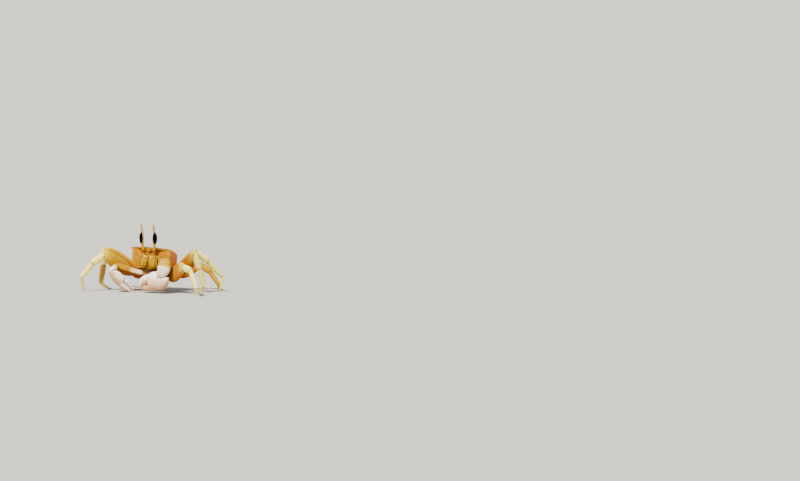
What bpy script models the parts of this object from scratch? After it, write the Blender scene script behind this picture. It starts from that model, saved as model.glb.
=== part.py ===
"""Horned ghost crab, a still model at life size.

The crab faces -Y and its left side is +X. The floor is z = 0, and the origin
lies on the floor under the middle of the whole animal. Sizes are worked out
in millimetres and become metres when a mesh is made. The body (carapace,
sternum, abdomen, mouth and feelers) is drawn level and then tilted as one.
Each walking leg lies in its own plane, given by a heading and a lean, and its
segments are set by pitch angles in that plane. The last segment takes the
pitch that brings its small flat sole to the floor.
"""
import math

import bmesh
import bpy
import numpy as np

MM = 0.001
GAP = 0.3
CARAPACE_WIDTH = 46.0
ORIGIN = np.array([-2.21, 0.99, 0.0])

# Tilt of the body
BODY_PITCH = 6.0
BODY_ROLL = 3.0
BODY_PIVOT = np.array([0.0, 0.0, 30.0])
BODY_SHIFT = np.array([0.0, -2.5, 0.0])

# Carapace, drawn level
HALF_WIDTH = CARAPACE_WIDTH / 2
CORNER_X = 22.6
REAR_Y = 16.5
SIDE_END_Y = -4.0
DORSAL_Z = 48.0
CARAPACE_FLOOR_Z = 24.3
MARGIN_CENTRE_Y = -21.3
FACE_CENTRE_Y = -21.5
LOBE_HALF = 3.6
LOBE_REACH = 3.2
ORBIT_DEPTH = 2.6
TOOTH_REACH = 1.8
MOUTH_SPLAY = 12.0

# Sternum, as facets walked round from the mouth to the tail, one for each limb
STERNUM_START = np.array([6.3, -15.2])
FACET_HEADING = {1: -58.0, 2: -28.0, 3: -8.0, 4: 12.0, 5: 45.0}
FACET_WIDTH = {1: 8.0, 2: 8.0, 3: 8.0, 4: 8.0, 5: 7.4}
HIP_Z = {1: 18.6, 2: 15.8, 3: 16.6, 4: 17.8, 5: 19.2}
COXA_LENGTH = 4.5
STERNUM_TOP_Z = CARAPACE_FLOOR_Z - GAP
STERNUM_BOTTOM_Z = 11.8

# Segment lengths as shares of the carapace width: merus, carpus, propodus, dactyl
SEGMENT_SHARE = {
    2: (0.90, 0.33, 0.46, 0.38),
    3: (0.97, 0.36, 0.50, 0.41),
    4: (0.93, 0.34, 0.52, 0.41),
    5: (0.66, 0.28, 0.39, 0.33),
}
LEG_GIRTH = {2: 1.0, 3: 1.0, 4: 0.97, 5: 0.9}

# Walking legs: number, side, heading, lean, pitches of three segments, toe swing
LEGS = (
    (2, "r", 204, 14, (33, -34, -53), 13),
    (3, "r", 202, 21, (40, -82, -82), 28),
    (4, "r", 156, 29, (38, -78, -58), 28),
    (5, "r", 120, 0, (34, -35, -50), 10),
    (2, "l", -37, -3, (20, -8, -57), -18),
    (3, "l", -4, -24, (42, -80, -88), -25),
    (4, "l", 14, -32, (51, -47, -55), 15),
    (5, "l", 30, 17, (22, -36, -58), 50),
)

# Profiles: share of the length, reach up, reach down, half thickness, in mm
MERUS = (
    (0.00, 4.1, 4.1, 3.2),
    (0.08, 4.3, 4.4, 3.3),
    (0.14, 3.5, 4.0, 2.7),
    (0.22, 3.6, 5.6, 2.7),
    (0.33, 4.7, 7.4, 2.7),
    (0.50, 6.0, 8.0, 2.7),
    (0.68, 6.2, 7.2, 2.6),
    (0.84, 5.8, 5.8, 2.6),
    (0.94, 5.0, 4.7, 2.6),
    (1.00, 4.0, 3.9, 2.4),
)
FRONT_MERUS = (
    (0.00, 4.1, 4.1, 3.2),
    (0.08, 4.3, 4.4, 3.3),
    (0.14, 3.5, 4.0, 2.7),
    (0.22, 3.8, 5.8, 2.7),
    (0.33, 5.4, 8.0, 2.7),
    (0.50, 7.0, 9.4, 2.7),
    (0.68, 7.8, 8.6, 2.6),
    (0.84, 7.6, 6.6, 2.6),
    (0.94, 6.6, 5.2, 2.6),
    (1.00, 5.2, 4.2, 2.4),
)
# How far a merus arches up near its root
MERUS_ARCH = {(2, "r"): 2.0, (3, "r"): 5.0, (4, "r"): 8.0}
CARPUS = (
    (0.00, 3.2, 3.0, 2.1),
    (0.22, 4.1, 3.4, 2.5),
    (0.55, 4.3, 3.8, 2.6),
    (0.85, 3.9, 3.7, 2.5),
    (1.00, 3.3, 3.2, 2.1),
)
PROPODUS = (
    (0.00, 2.7, 2.7, 1.8),
    (0.15, 3.2, 3.2, 2.0),
    (0.50, 3.1, 3.1, 1.9),
    (0.82, 2.6, 2.6, 1.7),
    (1.00, 2.1, 2.1, 1.4),
)
DACTYL = (
    (0.00, 1.7, 1.7, 1.3),
    (0.14, 2.1, 2.1, 1.5),
    (0.40, 1.8, 1.8, 1.3),
    (0.70, 1.2, 1.2, 0.9),
    (0.90, 0.75, 0.75, 0.65),
    (1.00, 0.55, 0.55, 0.5),
)
DACTYL_BOW = 0.07

# Claw limbs
CLAW_MERUS = (
    (0.00, 3.6, 3.6, 3.1),
    (0.14, 3.8, 3.8, 3.2),
    (0.26, 3.2, 3.2, 2.8),
    (0.45, 3.9, 3.9, 3.1),
    (0.70, 4.6, 4.6, 3.2),
    (0.90, 4.7, 4.7, 3.2),
    (1.00, 4.1, 4.1, 2.9),
)
BIG_CARPUS = (
    (0.00, 1.6, 1.6, 2.6),
    (0.05, 3.0, 3.2, 4.6),
    (0.14, 4.2, 4.6, 6.2),
    (0.30, 5.0, 5.6, 7.1),
    (0.55, 5.2, 5.8, 7.1),
    (0.80, 4.6, 5.2, 6.0),
    (1.00, 3.8, 4.4, 4.4),
)
SMALL_CARPUS = (
    (0.00, 2.7, 2.0, 2.6),
    (0.22, 4.0, 1.8, 4.2),
    (0.52, 4.6, 2.1, 5.0),
    (0.82, 4.2, 2.6, 4.6),
    (1.00, 3.5, 3.0, 3.5),
)
# Palm with its fixed finger: place along the palm, top, minus bottom, half thickness
BIG_PALM = (
    (-0.6, 3.0, -0.4, 1.6),
    (0.4, 3.7, 2.6, 2.9),
    (2.2, 3.8, 5.8, 4.1),
    (5.0, 3.8, 8.4, 5.1),
    (10.7, 3.4, 9.8, 5.6),
    (11.7, 9.8, 9.8, 5.6),
    (14.0, 11.0, 9.8, 5.8),
    (18.5, 10.8, 9.7, 5.8),
    (21.8, 9.7, 9.5, 5.4),
    (23.6, 8.7, 9.4, 5.1),
    (25.2, -4.2, 9.3, 4.0),
    (29.5, -4.1, 8.9, 3.4),
    (34.0, -5.2, 7.9, 2.2),
    (36.6, -6.5, 7.2, 0.6),
)
BIG_FINGER = (
    (0.00, 5.7, 5.5, 4.3),
    (0.10, 5.7, 5.5, 4.6),
    (0.30, 4.9, 5.6, 4.1),
    (0.55, 3.8, 5.0, 3.2),
    (0.80, 2.3, 2.9, 2.0),
    (1.00, 0.6, 0.6, 0.6),
)
SMALL_PALM = (
    (0.0, 3.3, 3.9, 2.4),
    (2.5, 4.3, 5.4, 3.2),
    (7.0, 5.0, 6.8, 3.7),
    (12.0, 5.0, 7.2, 3.7),
    (14.4, 4.2, 7.2, 3.3),
    (15.6, -0.9, 7.0, 2.9),
    (20.0, -0.9, 6.1, 2.5),
    (26.0, -0.7, 4.2, 1.8),
    (30.5, -0.2, 2.3, 1.0),
    (32.0, 0.3, 1.0, 0.6),
)
SMALL_FINGER = (
    (0.00, 2.3, 2.3, 2.1),
    (0.12, 2.5, 2.5, 2.4),
    (0.40, 2.1, 2.1, 2.0),
    (0.70, 1.4, 1.4, 1.3),
    (1.00, 0.45, 0.45, 0.45),
)
BIG_ELBOW = np.array([23.2, -26.2, 31.9])
BIG_MERUS_BEND = np.array([15.2, -23.8, 19.4])
BIG_WRIST = np.array([17.2, -33.4, 22.6])
BIG_ELBOW_LEAVES = np.array([-0.09, -0.96, -0.26])
BIG_CARPUS_CROWN = np.array([23.2, -32.0, 39.2])
BIG_CARPUS_BULGE = np.array([24.9, -33.0, 28.8])
BIG_CARPUS_HEADING = 24.0
BIG_HEEL = np.array([28.2, -33.6, 15.0])
BIG_DISTAL = np.array([-9.6, -26.3, 10.9])
SMALL_ELBOW = np.array([-33.8, -31.4, 28.6])
SMALL_WRIST = np.array([-35.2, -40.0, 23.8])
SMALL_TIP = np.array([-18.0, -25.6, 0.0])
SMALL_PALM_HEADING = 24.0
SMALL_PALM_LEAN = (0.73, 0.68)
SMALL_GIRTH = 0.84

# Eyes: bulb centre, stalk foot and horn, and the bulb's half sizes
EYE_X = 8.05
EYE_Y = -23.6
EYE_Z = 60.1
EYE_FOOT = np.array([6.2, -22.7, 43.6])
PEDUNCLE_TOP = -5.6
HORN_ROOT = 5.0
CORNEA_CUT = -0.6
BULB = (2.6, 2.65, 6.5)
EYE_TURN = 40.0
HORN_LEAN = -1.1
# Height from the bulb's centre, set back from the cornea, half sizes
STALK = (
    (-16.4, 0.0, 1.4, 1.4),
    (-15.4, 0.0, 2.0, 2.0),
    (-12.0, 0.0, 2.1, 2.1),
    (-10.0, -0.2, 1.7, 1.7),
    (-8.2, -0.5, 1.4, 1.4),
    (-6.8, -0.6, 1.5, 1.5),
    (-5.9, -0.9, 1.8, 1.8),
    (-3.2, -0.6, 2.1, 2.3),
    (0.0, -0.1, 2.6, 2.65),
    (3.2, -0.6, 2.1, 2.3),
    (5.0, -1.0, 1.5, 1.6),
    (6.4, -1.1, 1.35, 1.4),
    (9.0, -1.1, 1.3, 1.35),
    (12.5, -1.0, 1.2, 1.25),
    (14.6, -0.95, 1.05, 1.05),
    (15.4, -0.95, 0.6, 0.6),
)

# Surface colours as linear red, green and blue
GOLDEN = (0.90, 0.42, 0.03)
ORANGE = (0.80, 0.28, 0.03)
CREAM = (0.95, 0.86, 0.55)
WHITE = (0.92, 0.84, 0.78)
TAN = (0.62, 0.38, 0.24)
BLACK = (0.005, 0.004, 0.006)


def unit(vector):
    vector = np.asarray(vector, float)
    return vector / np.linalg.norm(vector)


def heading_vector(degrees):
    angle = math.radians(degrees)
    return np.array([math.cos(angle), math.sin(angle), 0.0])


def body_turn(points):
    """Tilt directions: front up by the pitch, then the left side down by the roll."""
    pitch = math.radians(BODY_PITCH)
    roll = math.radians(BODY_ROLL)
    about_x = np.array([
        [1, 0, 0],
        [0, math.cos(pitch), math.sin(pitch)],
        [0, -math.sin(pitch), math.cos(pitch)],
    ])
    about_y = np.array([
        [math.cos(roll), 0, math.sin(roll)],
        [0, 1, 0],
        [-math.sin(roll), 0, math.cos(roll)],
    ])
    return np.asarray(points, float) @ (about_y @ about_x).T


def body_place(points):
    """Tilt points drawn on the level body about the pivot and set them in place."""
    return body_turn(np.asarray(points, float) - BODY_PIVOT) + BODY_PIVOT + BODY_SHIFT


def bump(x, centre, half):
    """A smooth hill: 1 at the centre, falling to 0 at the half width."""
    reach = np.clip(np.abs(np.asarray(x, float) - centre) / half, 0, 1)
    return 0.5 + 0.5 * np.cos(np.pi * reach)


def bezier(points, count):
    """Points on the Bezier curve of the given control points."""
    points = np.asarray(points, float)
    degree = len(points) - 1
    t = np.linspace(0, 1, count)[:, None]
    curve = np.zeros((count, 3))
    for k, point in enumerate(points):
        curve += math.comb(degree, k) * t**k * (1 - t) ** (degree - k) * point
    return curve


def along(path, shares):
    """Points and directions at shares of a path's length."""
    steps = np.linalg.norm(np.diff(path, axis=0), axis=1)
    length = np.concatenate([[0], np.cumsum(steps)])
    wanted = np.asarray(shares) * length[-1]
    points = np.stack([np.interp(wanted, length, path[:, k]) for k in range(3)], axis=1)
    before = np.clip(wanted - 0.3, 0, length[-1])
    after = np.clip(wanted + 0.3, 0, length[-1])
    ahead = np.stack([np.interp(after, length, path[:, k]) for k in range(3)], axis=1)
    behind = np.stack([np.interp(before, length, path[:, k]) for k in range(3)], axis=1)
    return points, [unit(step) for step in ahead - behind]


def oval(sides, power):
    """Unit superellipse: 2 is round, more is squarer."""
    angle = 2 * np.pi * np.arange(sides) / sides
    across = np.sign(np.cos(angle)) * np.abs(np.cos(angle)) ** (2 / power)
    upward = np.sign(np.sin(angle)) * np.abs(np.sin(angle)) ** (2 / power)
    return across, upward


def swept(path, side, profile, start, end, sides=12, power=2.3, blend=0.5, reach=1.35):
    """Rings of a limb segment along a path.

    Each ring is an oval across the path. Towards each end it is sheared along
    the path until the last ring lies in the joint's plane, so that two
    segments that share a plane meet face to face. A point of an end ring
    stays within a few reaches of the joint, which rounds a sharp elbow.
    """
    shares = np.array([row[0] for row in profile])
    centres, tangents = along(path, shares)
    across, upward = oval(sides, power)
    rings = []
    w = np.asarray(side, float)
    frames = []
    for t in tangents:
        w = unit(w - np.dot(w, t) * t)
        frames.append((t, w, np.cross(w, t)))
    slopes = []
    for (t, w, u), normal in ((frames[0], start), (frames[-1], end)):
        slopes.append((-np.dot(w, normal) / np.dot(t, normal), -np.dot(u, normal) / np.dot(t, normal)))
    for share, centre, (t, w, u), row in zip(shares, centres, frames, profile):
        x = row[3] * across
        y = (row[1] - row[2]) / 2 + (row[1] + row[2]) / 2 * upward
        first = max(0.0, 1 - share / blend)
        last = max(0.0, 1 - (1 - share) / blend)
        shear = first * (x * slopes[0][0] + y * slopes[0][1])
        shear = shear + last * (x * slopes[1][0] + y * slopes[1][1])
        offset = np.outer(x, w) + np.outer(y, u) + np.outer(shear, t)
        if share in (0.0, 1.0):
            far = np.linalg.norm(offset, axis=1)
            limit = reach * max(row[1], row[2], row[3])
            offset *= np.minimum(1, limit / np.maximum(far, 1e-6))[:, None]
        rings.append(centre + offset)
    return rings


def scaled(profile, girth):
    return tuple((row[0],) + tuple(value * girth for value in row[1:]) for row in profile)


def make_object(name, points, faces, colour, roughness=0.45):
    """A closed mesh object with its own material, from points in millimetres."""
    mesh = bpy.data.meshes.new(name)
    points = (np.asarray(points, float) - ORIGIN) * MM
    mesh.from_pydata(points.tolist(), [], faces)
    work = bmesh.new()
    work.from_mesh(mesh)
    bmesh.ops.recalc_face_normals(work, faces=work.faces)
    work.to_mesh(mesh)
    work.free()
    mesh.shade_smooth()
    mesh.set_sharp_from_angle(angle=math.radians(40))
    material = bpy.data.materials.new(name + "_shell")
    material.use_nodes = True
    shader = material.node_tree.nodes["Principled BSDF"]
    shader.inputs["Base Color"].default_value = (*colour, 1.0)
    shader.inputs["Roughness"].default_value = roughness
    shader.inputs["Metallic"].default_value = 0.0
    mesh.materials.append(material)
    thing = bpy.data.objects.new(name, mesh)
    bpy.context.collection.objects.link(thing)
    return thing


def skin_rings(name, rings, colour, roughness=0.45):
    """Join rings of equal count into a closed body, with a fan over each end."""
    count = len(rings[0])
    points = [point for ring in rings for point in ring]
    faces = []
    for level in range(len(rings) - 1):
        for k in range(count):
            nxt = (k + 1) % count
            low, high = level * count, (level + 1) * count
            faces.append((low + k, low + nxt, high + nxt, high + k))
    for level in (0, len(rings) - 1):
        middle = len(points)
        points.append(np.mean(rings[level], axis=0))
        for k in range(count):
            faces.append((level * count + k, level * count + (k + 1) % count, middle))
    return make_object(name, points, faces, colour, roughness)


def sternum_outline():
    """Corners of the sternum's left half and each limb's facet centre, in plan."""
    corner = STERNUM_START.copy()
    corners = [corner.copy()]
    centres = {}
    for number in (1, 2, 3, 4, 5):
        ahead = heading_vector(FACET_HEADING[number] + 90)[:2]
        centres[number] = corner + ahead * FACET_WIDTH[number] / 2
        corner = corner + ahead * FACET_WIDTH[number]
        corners.append(corner.copy())
    return corners, centres


def hip(number, side):
    """A limb's root on the sternum, the way it leaves, and the end of its coxa."""
    sign = 1 if side == "l" else -1
    centre = sternum_outline()[1][number]
    way = heading_vector(FACET_HEADING[number])
    root = np.array([centre[0], centre[1], HIP_Z[number]])
    turn = np.array([sign, 1, 1])
    facet = body_turn(way * turn)
    start = body_place((root + way * GAP) * turn)
    coxa_end = body_place((root + way * COXA_LENGTH) * turn)
    return start, facet, coxa_end


def dorsal_height(x, y):
    """Height of the back: nearly level in front, rolled down at the sides and rear."""
    front = np.clip((-3 - y) / 18, 0, None)
    rear = np.clip((y + 3) / 19.5, 0, None)
    side_drop = 1.0 + 5.4 * np.clip((y + 16) / 14, 0, 1) ** 1.3
    across = np.clip(np.abs(x) / HALF_WIDTH, 0, 1)
    return DORSAL_Z - 1.2 * front**2 - 9.0 * rear**2.6 - side_drop * across**6


def carapace_columns():
    """Columns of the carapace wall, walked round from the front's middle.

    Each column runs from the lower edge up to the rim of the back. In front
    it dips in under the rim as the orbit, where the eye would fold away. The
    middle lobe of the front hangs down between the eyestalks.
    """
    columns = []
    front_x = (0.0, 1.8, 3.2, 4.7, 6.3, 8.2, 10.8, 13.6, 16.6, 19.4, 21.4, CORNER_X)
    for x in front_x:
        lobe = float(bump(x, 0, LOBE_HALF + 1.2)) ** 0.5
        notch = float(bump(x, 6.3, 3.0))
        share = x / CORNER_X
        margin_y = MARGIN_CENTRE_Y + 5.2 * share**2.6 - LOBE_REACH * lobe + 1.0 * notch
        face_y = FACE_CENTRE_Y + 5.6 * share**2.2
        depth = ORBIT_DEPTH * float(bump(x, 9.5, 13.0)) * (1 - lobe)
        rim_z = float(dorsal_height(x, margin_y))
        ridge_z = 37.6 + 4.6 * share**2
        drop = 0.8 + 2.4 * lobe
        flare = TOOTH_REACH * share**9
        column = [
            (x - 1.6 * share**3, face_y + 2.0, CARAPACE_FLOOR_Z),
            (x - 0.7 * share**3, face_y + 0.7, 28.0),
            (x, face_y, 33.0),
            (x, face_y - 0.4, ridge_z),
            (x, face_y + depth, ridge_z + 0.9),
            (x + flare / 2, face_y + depth, rim_z - drop - 0.8),
            (x + flare, margin_y + 0.2, rim_z - drop),
            (x + flare, margin_y, rim_z),
        ]
        columns.append(column)
    side = [(HALF_WIDTH - 0.4 * ((SIDE_END_Y - y) / 12) ** 2, y) for y in (-12.8, -8.6, -4.0)]
    span = REAR_Y - SIDE_END_Y
    for angle in (20, 34, 46, 57, 68, 79):
        cosine = math.cos(math.radians(angle)) ** (2 / 3.2)
        sine = math.sin(math.radians(angle)) ** (2 / 3.2)
        side.append((HALF_WIDTH * cosine, SIDE_END_Y + span * sine))
    side.append((0.0, REAR_Y))
    middle = np.array([0.0, -3.0])
    shares = (0.0, 0.16, 0.36, 0.55, 0.67, 0.79, 0.9, 1.0)
    insets = (1.6, 0.7, 0.1, 0.0, 0.0, 0.0, 0.1, 0.35)
    for x, y in side:
        rim_z = float(dorsal_height(x, y))
        outward = unit(np.array([x, y]) - middle)
        column = []
        for share, inset in zip(shares, insets):
            place = np.array([x, y]) - outward * inset
            column.append((place[0], place[1], CARAPACE_FLOOR_Z + share * (rim_z - CARAPACE_FLOOR_Z)))
        columns.append(column)
    mirrored = [[(-x, y, z) for x, y, z in column] for column in columns[1:-1]]
    return columns + mirrored[::-1]


def make_carapace():
    columns = np.array(carapace_columns())
    rim = columns[:, -1, :]
    middle = np.array([0.0, -3.0])
    rings = [body_place(columns[:, level, :]) for level in range(columns.shape[1])]
    for share in (0.965, 0.9, 0.8, 0.62, 0.38, 0.14):
        plan = middle + (rim[:, :2] - middle) * share
        height = dorsal_height(plan[:, 0], plan[:, 1])
        rings.append(body_place(np.column_stack([plan, height])))
    return skin_rings("carapace", rings, GOLDEN)


def make_sternum():
    corners = sternum_outline()[0]
    plan = np.array([*corners, *[(-x, y) for x, y in corners[::-1]]])
    middle = np.array([0.0, 1.0])
    rings = []
    for z, share in ((STERNUM_BOTTOM_Z, 0.7), (13.2, 0.9), (15.0, 1.0), (21.5, 1.0), (STERNUM_TOP_Z, 0.98)):
        flat = middle + (plan - middle) * share
        rings.append(body_place(np.column_stack([flat, np.full(len(flat), z)])))
    return skin_rings("sternum", rings, ORANGE)


def make_abdomen():
    """The tail, a thin plate folded from the rear under the body."""
    route = ((18.4, 23.4), (18.4, 15.4), (17.9, 14.0), (16.3, 12.1), (13.0, 10.5), (10.0, 10.4), (-9.0, 10.5))
    path = body_place([(0.0, y, z) for y, z in route])
    profile = (
        (0.00, 0.75, 0.75, 5.6),
        (0.10, 0.8, 0.8, 6.2),
        (0.20, 0.8, 0.8, 6.4),
        (0.24, 0.8, 0.8, 6.4),
        (0.30, 0.8, 0.8, 6.3),
        (0.36, 0.8, 0.8, 6.1),
        (0.44, 0.8, 0.8, 5.8),
        (0.60, 0.8, 0.8, 4.8),
        (0.85, 0.75, 0.75, 3.4),
        (1.00, 0.5, 0.5, 1.6),
    )
    first, last = unit(path[1] - path[0]), unit(path[-1] - path[-2])
    rings = swept(path, body_turn((1, 0, 0)), profile, first, last, sides=14, power=3.0)
    return skin_rings("abdomen", rings, CREAM)


def make_mouth(side):
    """Outer mouthpart: an oval plate, domed forward, over half of the mouth."""
    sign = 1 if side == "l" else -1
    across, upward = oval(18, 2.3)
    sine, cosine = math.sin(math.radians(MOUTH_SPLAY)), math.cos(math.radians(MOUTH_SPLAY))
    rings = []
    for y, share in ((-21.9, 0.9), (-22.5, 1.0), (-23.6, 0.92), (-24.5, 0.66), (-24.9, 0.28)):
        x = sign * (5.05 + 4.6 * share * across * cosine - 7.1 * share * upward * sine)
        z = 32.3 + 4.6 * share * across * sine + 7.1 * share * upward * cosine
        rings.append(body_place(np.column_stack([x, np.full(len(x), y), z])))
    return skin_rings("maxilliped_" + side, rings, GOLDEN)


def make_feeler(side):
    sign = 1 if side == "l" else -1
    route = ((2.9, -21.9, 40.6), (3.2, -24.2, 40.8), (4.6, -26.0, 40.9), (7.4, -27.0, 40.2))
    path = body_place(bezier([(sign * x, y, z) for x, y, z in route], 30))
    profile = (
        (0.0, 0.75, 0.75, 0.8),
        (0.35, 0.7, 0.7, 0.75),
        (0.5, 0.42, 0.42, 0.45),
        (1.0, 0.25, 0.25, 0.25),
    )
    first, last = unit(path[1] - path[0]), unit(path[-1] - path[-2])
    rings = swept(path, (0, 0, 1), profile, first, last, sides=8, power=2.0)
    return skin_rings("antenna_" + side, rings, CREAM)


def eye_frame(side):
    """The bulb's centre, the way the cornea looks, and the way across."""
    sign = 1 if side == "l" else -1
    centre = np.array([sign * EYE_X, EYE_Y, EYE_Z])
    angle = math.radians(EYE_TURN)
    out = np.array([sign * math.cos(angle), -math.sin(angle), 0.0])
    return centre, out, np.cross((0, 0, 1), out)


def make_eye(side):
    """The stalk with its horn, and the cornea, parted by a flat cut."""
    sign = 1 if side == "l" else -1
    centre, out, across = eye_frame(side)
    foot = body_place(EYE_FOOT * np.array([sign, 1, 1]))
    up = np.array([0.0, 0.0, 1.0])
    cosine, sine = oval(14, 2.0)
    rings = []
    for height, back, half_out, half_across in STALK:
        share = np.clip((PEDUNCLE_TOP - height) / (PEDUNCLE_TOP - STALK[0][0]), 0, 1)
        spine = centre + up * height
        spine = spine + share * (foot - centre - up * STALK[0][0])
        spine[0] += HORN_LEAN * np.clip((height - HORN_ROOT) / HORN_ROOT, 0, 1)
        reach = back + half_out * cosine
        if -6.0 < height < 6.5:
            reach = np.minimum(reach, CORNEA_CUT - GAP)
        rings.append(spine + np.outer(reach, out) + np.outer(half_across * sine, across))
    stalk = skin_rings("eyestalk_" + side, rings, TAN)
    rings = []
    for share in (-0.87, -0.82, -0.72, -0.45, -0.15, 0.15, 0.45, 0.72, 0.9, 0.985):
        width = math.sqrt(1 - share**2)
        reach = np.maximum(BULB[0] * width * cosine, CORNEA_CUT)
        side_reach = BULB[1] * width * sine
        level = centre + up * BULB[2] * share
        rings.append(level + np.outer(reach, out) + np.outer(side_reach, across))
    cornea = skin_rings("cornea_" + side, rings, BLACK, 0.12)
    return stalk, cornea


def leg_joints(number, side, heading, lean, pitches, swing):
    """Coxa end, knee, two lower joints and the toe, with the leg plane's normal."""
    flat = heading_vector(heading)
    sideways = np.array([-flat[1], flat[0], 0.0])
    tilt = math.radians(lean)
    rise = math.cos(tilt) * np.array([0.0, 0.0, 1.0]) + math.sin(tilt) * sideways
    normal = np.cross(flat, rise)
    lengths = [share * CARAPACE_WIDTH for share in SEGMENT_SHARE[number]]
    joints = [hip(number, side)[2]]
    for length, pitch in zip(lengths, pitches):
        angle = math.radians(pitch)
        joints.append(joints[-1] + length * (math.cos(angle) * flat + math.sin(angle) * rise))
    turn = math.radians(swing)
    fall = -joints[-1][2] / lengths[3] - math.sin(turn) * math.sin(tilt)
    pitch = -math.pi - math.asin(fall / (math.cos(turn) * math.cos(tilt)))
    toe = math.cos(turn) * (math.cos(pitch) * flat + math.sin(pitch) * rise) + math.sin(turn) * normal
    joints.append(joints[-1] + lengths[3] * toe)
    return joints, normal


def shared_plane(before, joint, after):
    """The normal of the plane that halves the bend at a joint."""
    return unit(unit(joint - before) + unit(after - joint))


def between(start, end, normal_start, normal_end):
    """A straight path from joint to joint that leaves half the gap at each."""
    way = unit(end - start)
    first = start + way * GAP / 2 / np.dot(way, normal_start)
    last = end - way * GAP / 2 / np.dot(way, normal_end)
    return np.linspace(first, last, 20)


def make_leg(number, side, heading, lean, pitches, swing):
    girth = LEG_GIRTH[number]
    start, facet, coxa_end = hip(number, side)
    (_, knee, wrist, ankle, toe), normal = leg_joints(number, side, heading, lean, pitches, swing)
    rise = np.cross(normal, heading_vector(heading))
    name = f"leg{number}{side}_"
    bend_knee = shared_plane(coxa_end, knee, wrist)
    bend_wrist = shared_plane(knee, wrist, ankle)
    bend_ankle = shared_plane(wrist, ankle, toe)
    floor = np.array([0.0, 0.0, -1.0])
    last = knee - unit(knee - coxa_end) * GAP / 2 / np.dot(unit(knee - coxa_end), bend_knee)
    arch = coxa_end + (knee - coxa_end) * 0.3 + rise * MERUS_ARCH.get((number, side), 0.0)
    path = bezier((start, coxa_end, arch, last), 60)
    profile = FRONT_MERUS if number == 2 else MERUS
    rings = swept(path, normal, scaled(profile, girth), facet, bend_knee, blend=0.36)
    skin_rings(name + "merus", rings, ORANGE)
    path = between(knee, wrist, bend_knee, bend_wrist)
    rings = swept(path, normal, scaled(CARPUS, girth), bend_knee, bend_wrist)
    skin_rings(name + "carpus", rings, CREAM)
    path = between(wrist, ankle, bend_wrist, bend_ankle)
    rings = swept(path, normal, scaled(PROPODUS, girth), bend_wrist, bend_ankle)
    skin_rings(name + "propodus", rings, CREAM)
    way = unit(toe - ankle)
    outward = np.cross(normal, way)
    bow = outward * DACTYL_BOW * np.linalg.norm(toe - ankle)
    first = ankle + way * GAP / 2 / np.dot(way, bend_ankle)
    path = bezier((first, (ankle + toe) / 2 + 2 * bow, toe), 40)
    rings = swept(path, normal, scaled(DACTYL, girth), bend_ankle, floor, sides=10, blend=0.3, reach=3.0)
    rings[-1][:, 2] = 0.0
    skin_rings(name + "dactyl", rings, CREAM)


def palm_frame(heel, distal):
    """Directions along, up and across a palm that hangs upright."""
    way = unit(distal - heel)
    up = unit(np.array([0.0, 0.0, 1.0]) - way[2] * way)
    return way, up, np.cross(way, up)


def flattened(rings, spot, normal):
    """Rings with every point behind a plane brought forward onto it."""
    return [ring + np.maximum((spot - ring) @ normal, 0)[:, None] * normal for ring in rings]


def palm_rings(heel, way, up, across, outline, sides=16, power=2.4):
    """Rings across the palm, one for each row of its outline."""
    cosine, sine = oval(sides, power)
    rings = []
    for place, top, bottom, half in outline:
        y = (top - bottom) / 2 + (top + bottom) / 2 * sine
        rings.append(heel + way * place + np.outer(y, up) + np.outer(half * cosine, across))
    return rings


def make_big_claw():
    start, facet, coxa_end = hip(1, "l")
    way, up, across = palm_frame(BIG_HEEL, BIG_DISTAL)
    bend = unit(unit(BIG_ELBOW - coxa_end) + unit(BIG_ELBOW_LEAVES))
    last = BIG_ELBOW - bend * GAP / 2
    path = bezier((start, coxa_end, BIG_MERUS_BEND, last), 60)
    rings = swept(path, (0, -1, 0), CLAW_MERUS, facet, bend, sides=14, blend=0.4)
    skin_rings("claw_l_merus", rings, GOLDEN)
    path = bezier((BIG_CARPUS_CROWN, BIG_CARPUS_BULGE, BIG_WRIST - way * 6.0, BIG_WRIST), 60)
    side, down = heading_vector(BIG_CARPUS_HEADING), np.array([0.0, 0.0, -1.0])
    rings = swept(path, side, BIG_CARPUS, down, way, sides=16, power=2.5)
    skin_rings("claw_l_carpus", flattened(rings, BIG_ELBOW + bend * GAP / 2, bend), WHITE)
    skin_rings("claw_l_palm", palm_rings(BIG_HEEL, way, up, across, BIG_PALM), WHITE)
    route = [BIG_HEEL + way * x + up * y for x, y in ((25.4, 2.6), (31.0, 2.9), (36.8, 1.0), (36.7, -5.8))]
    path = bezier(route, 60)
    socket = unit(way * 14.2 + up * 1.6)
    rings = swept(path, across, BIG_FINGER, socket, unit(path[-1] - path[-2]), sides=14)
    skin_rings("claw_l_dactyl", rings, WHITE)


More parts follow.
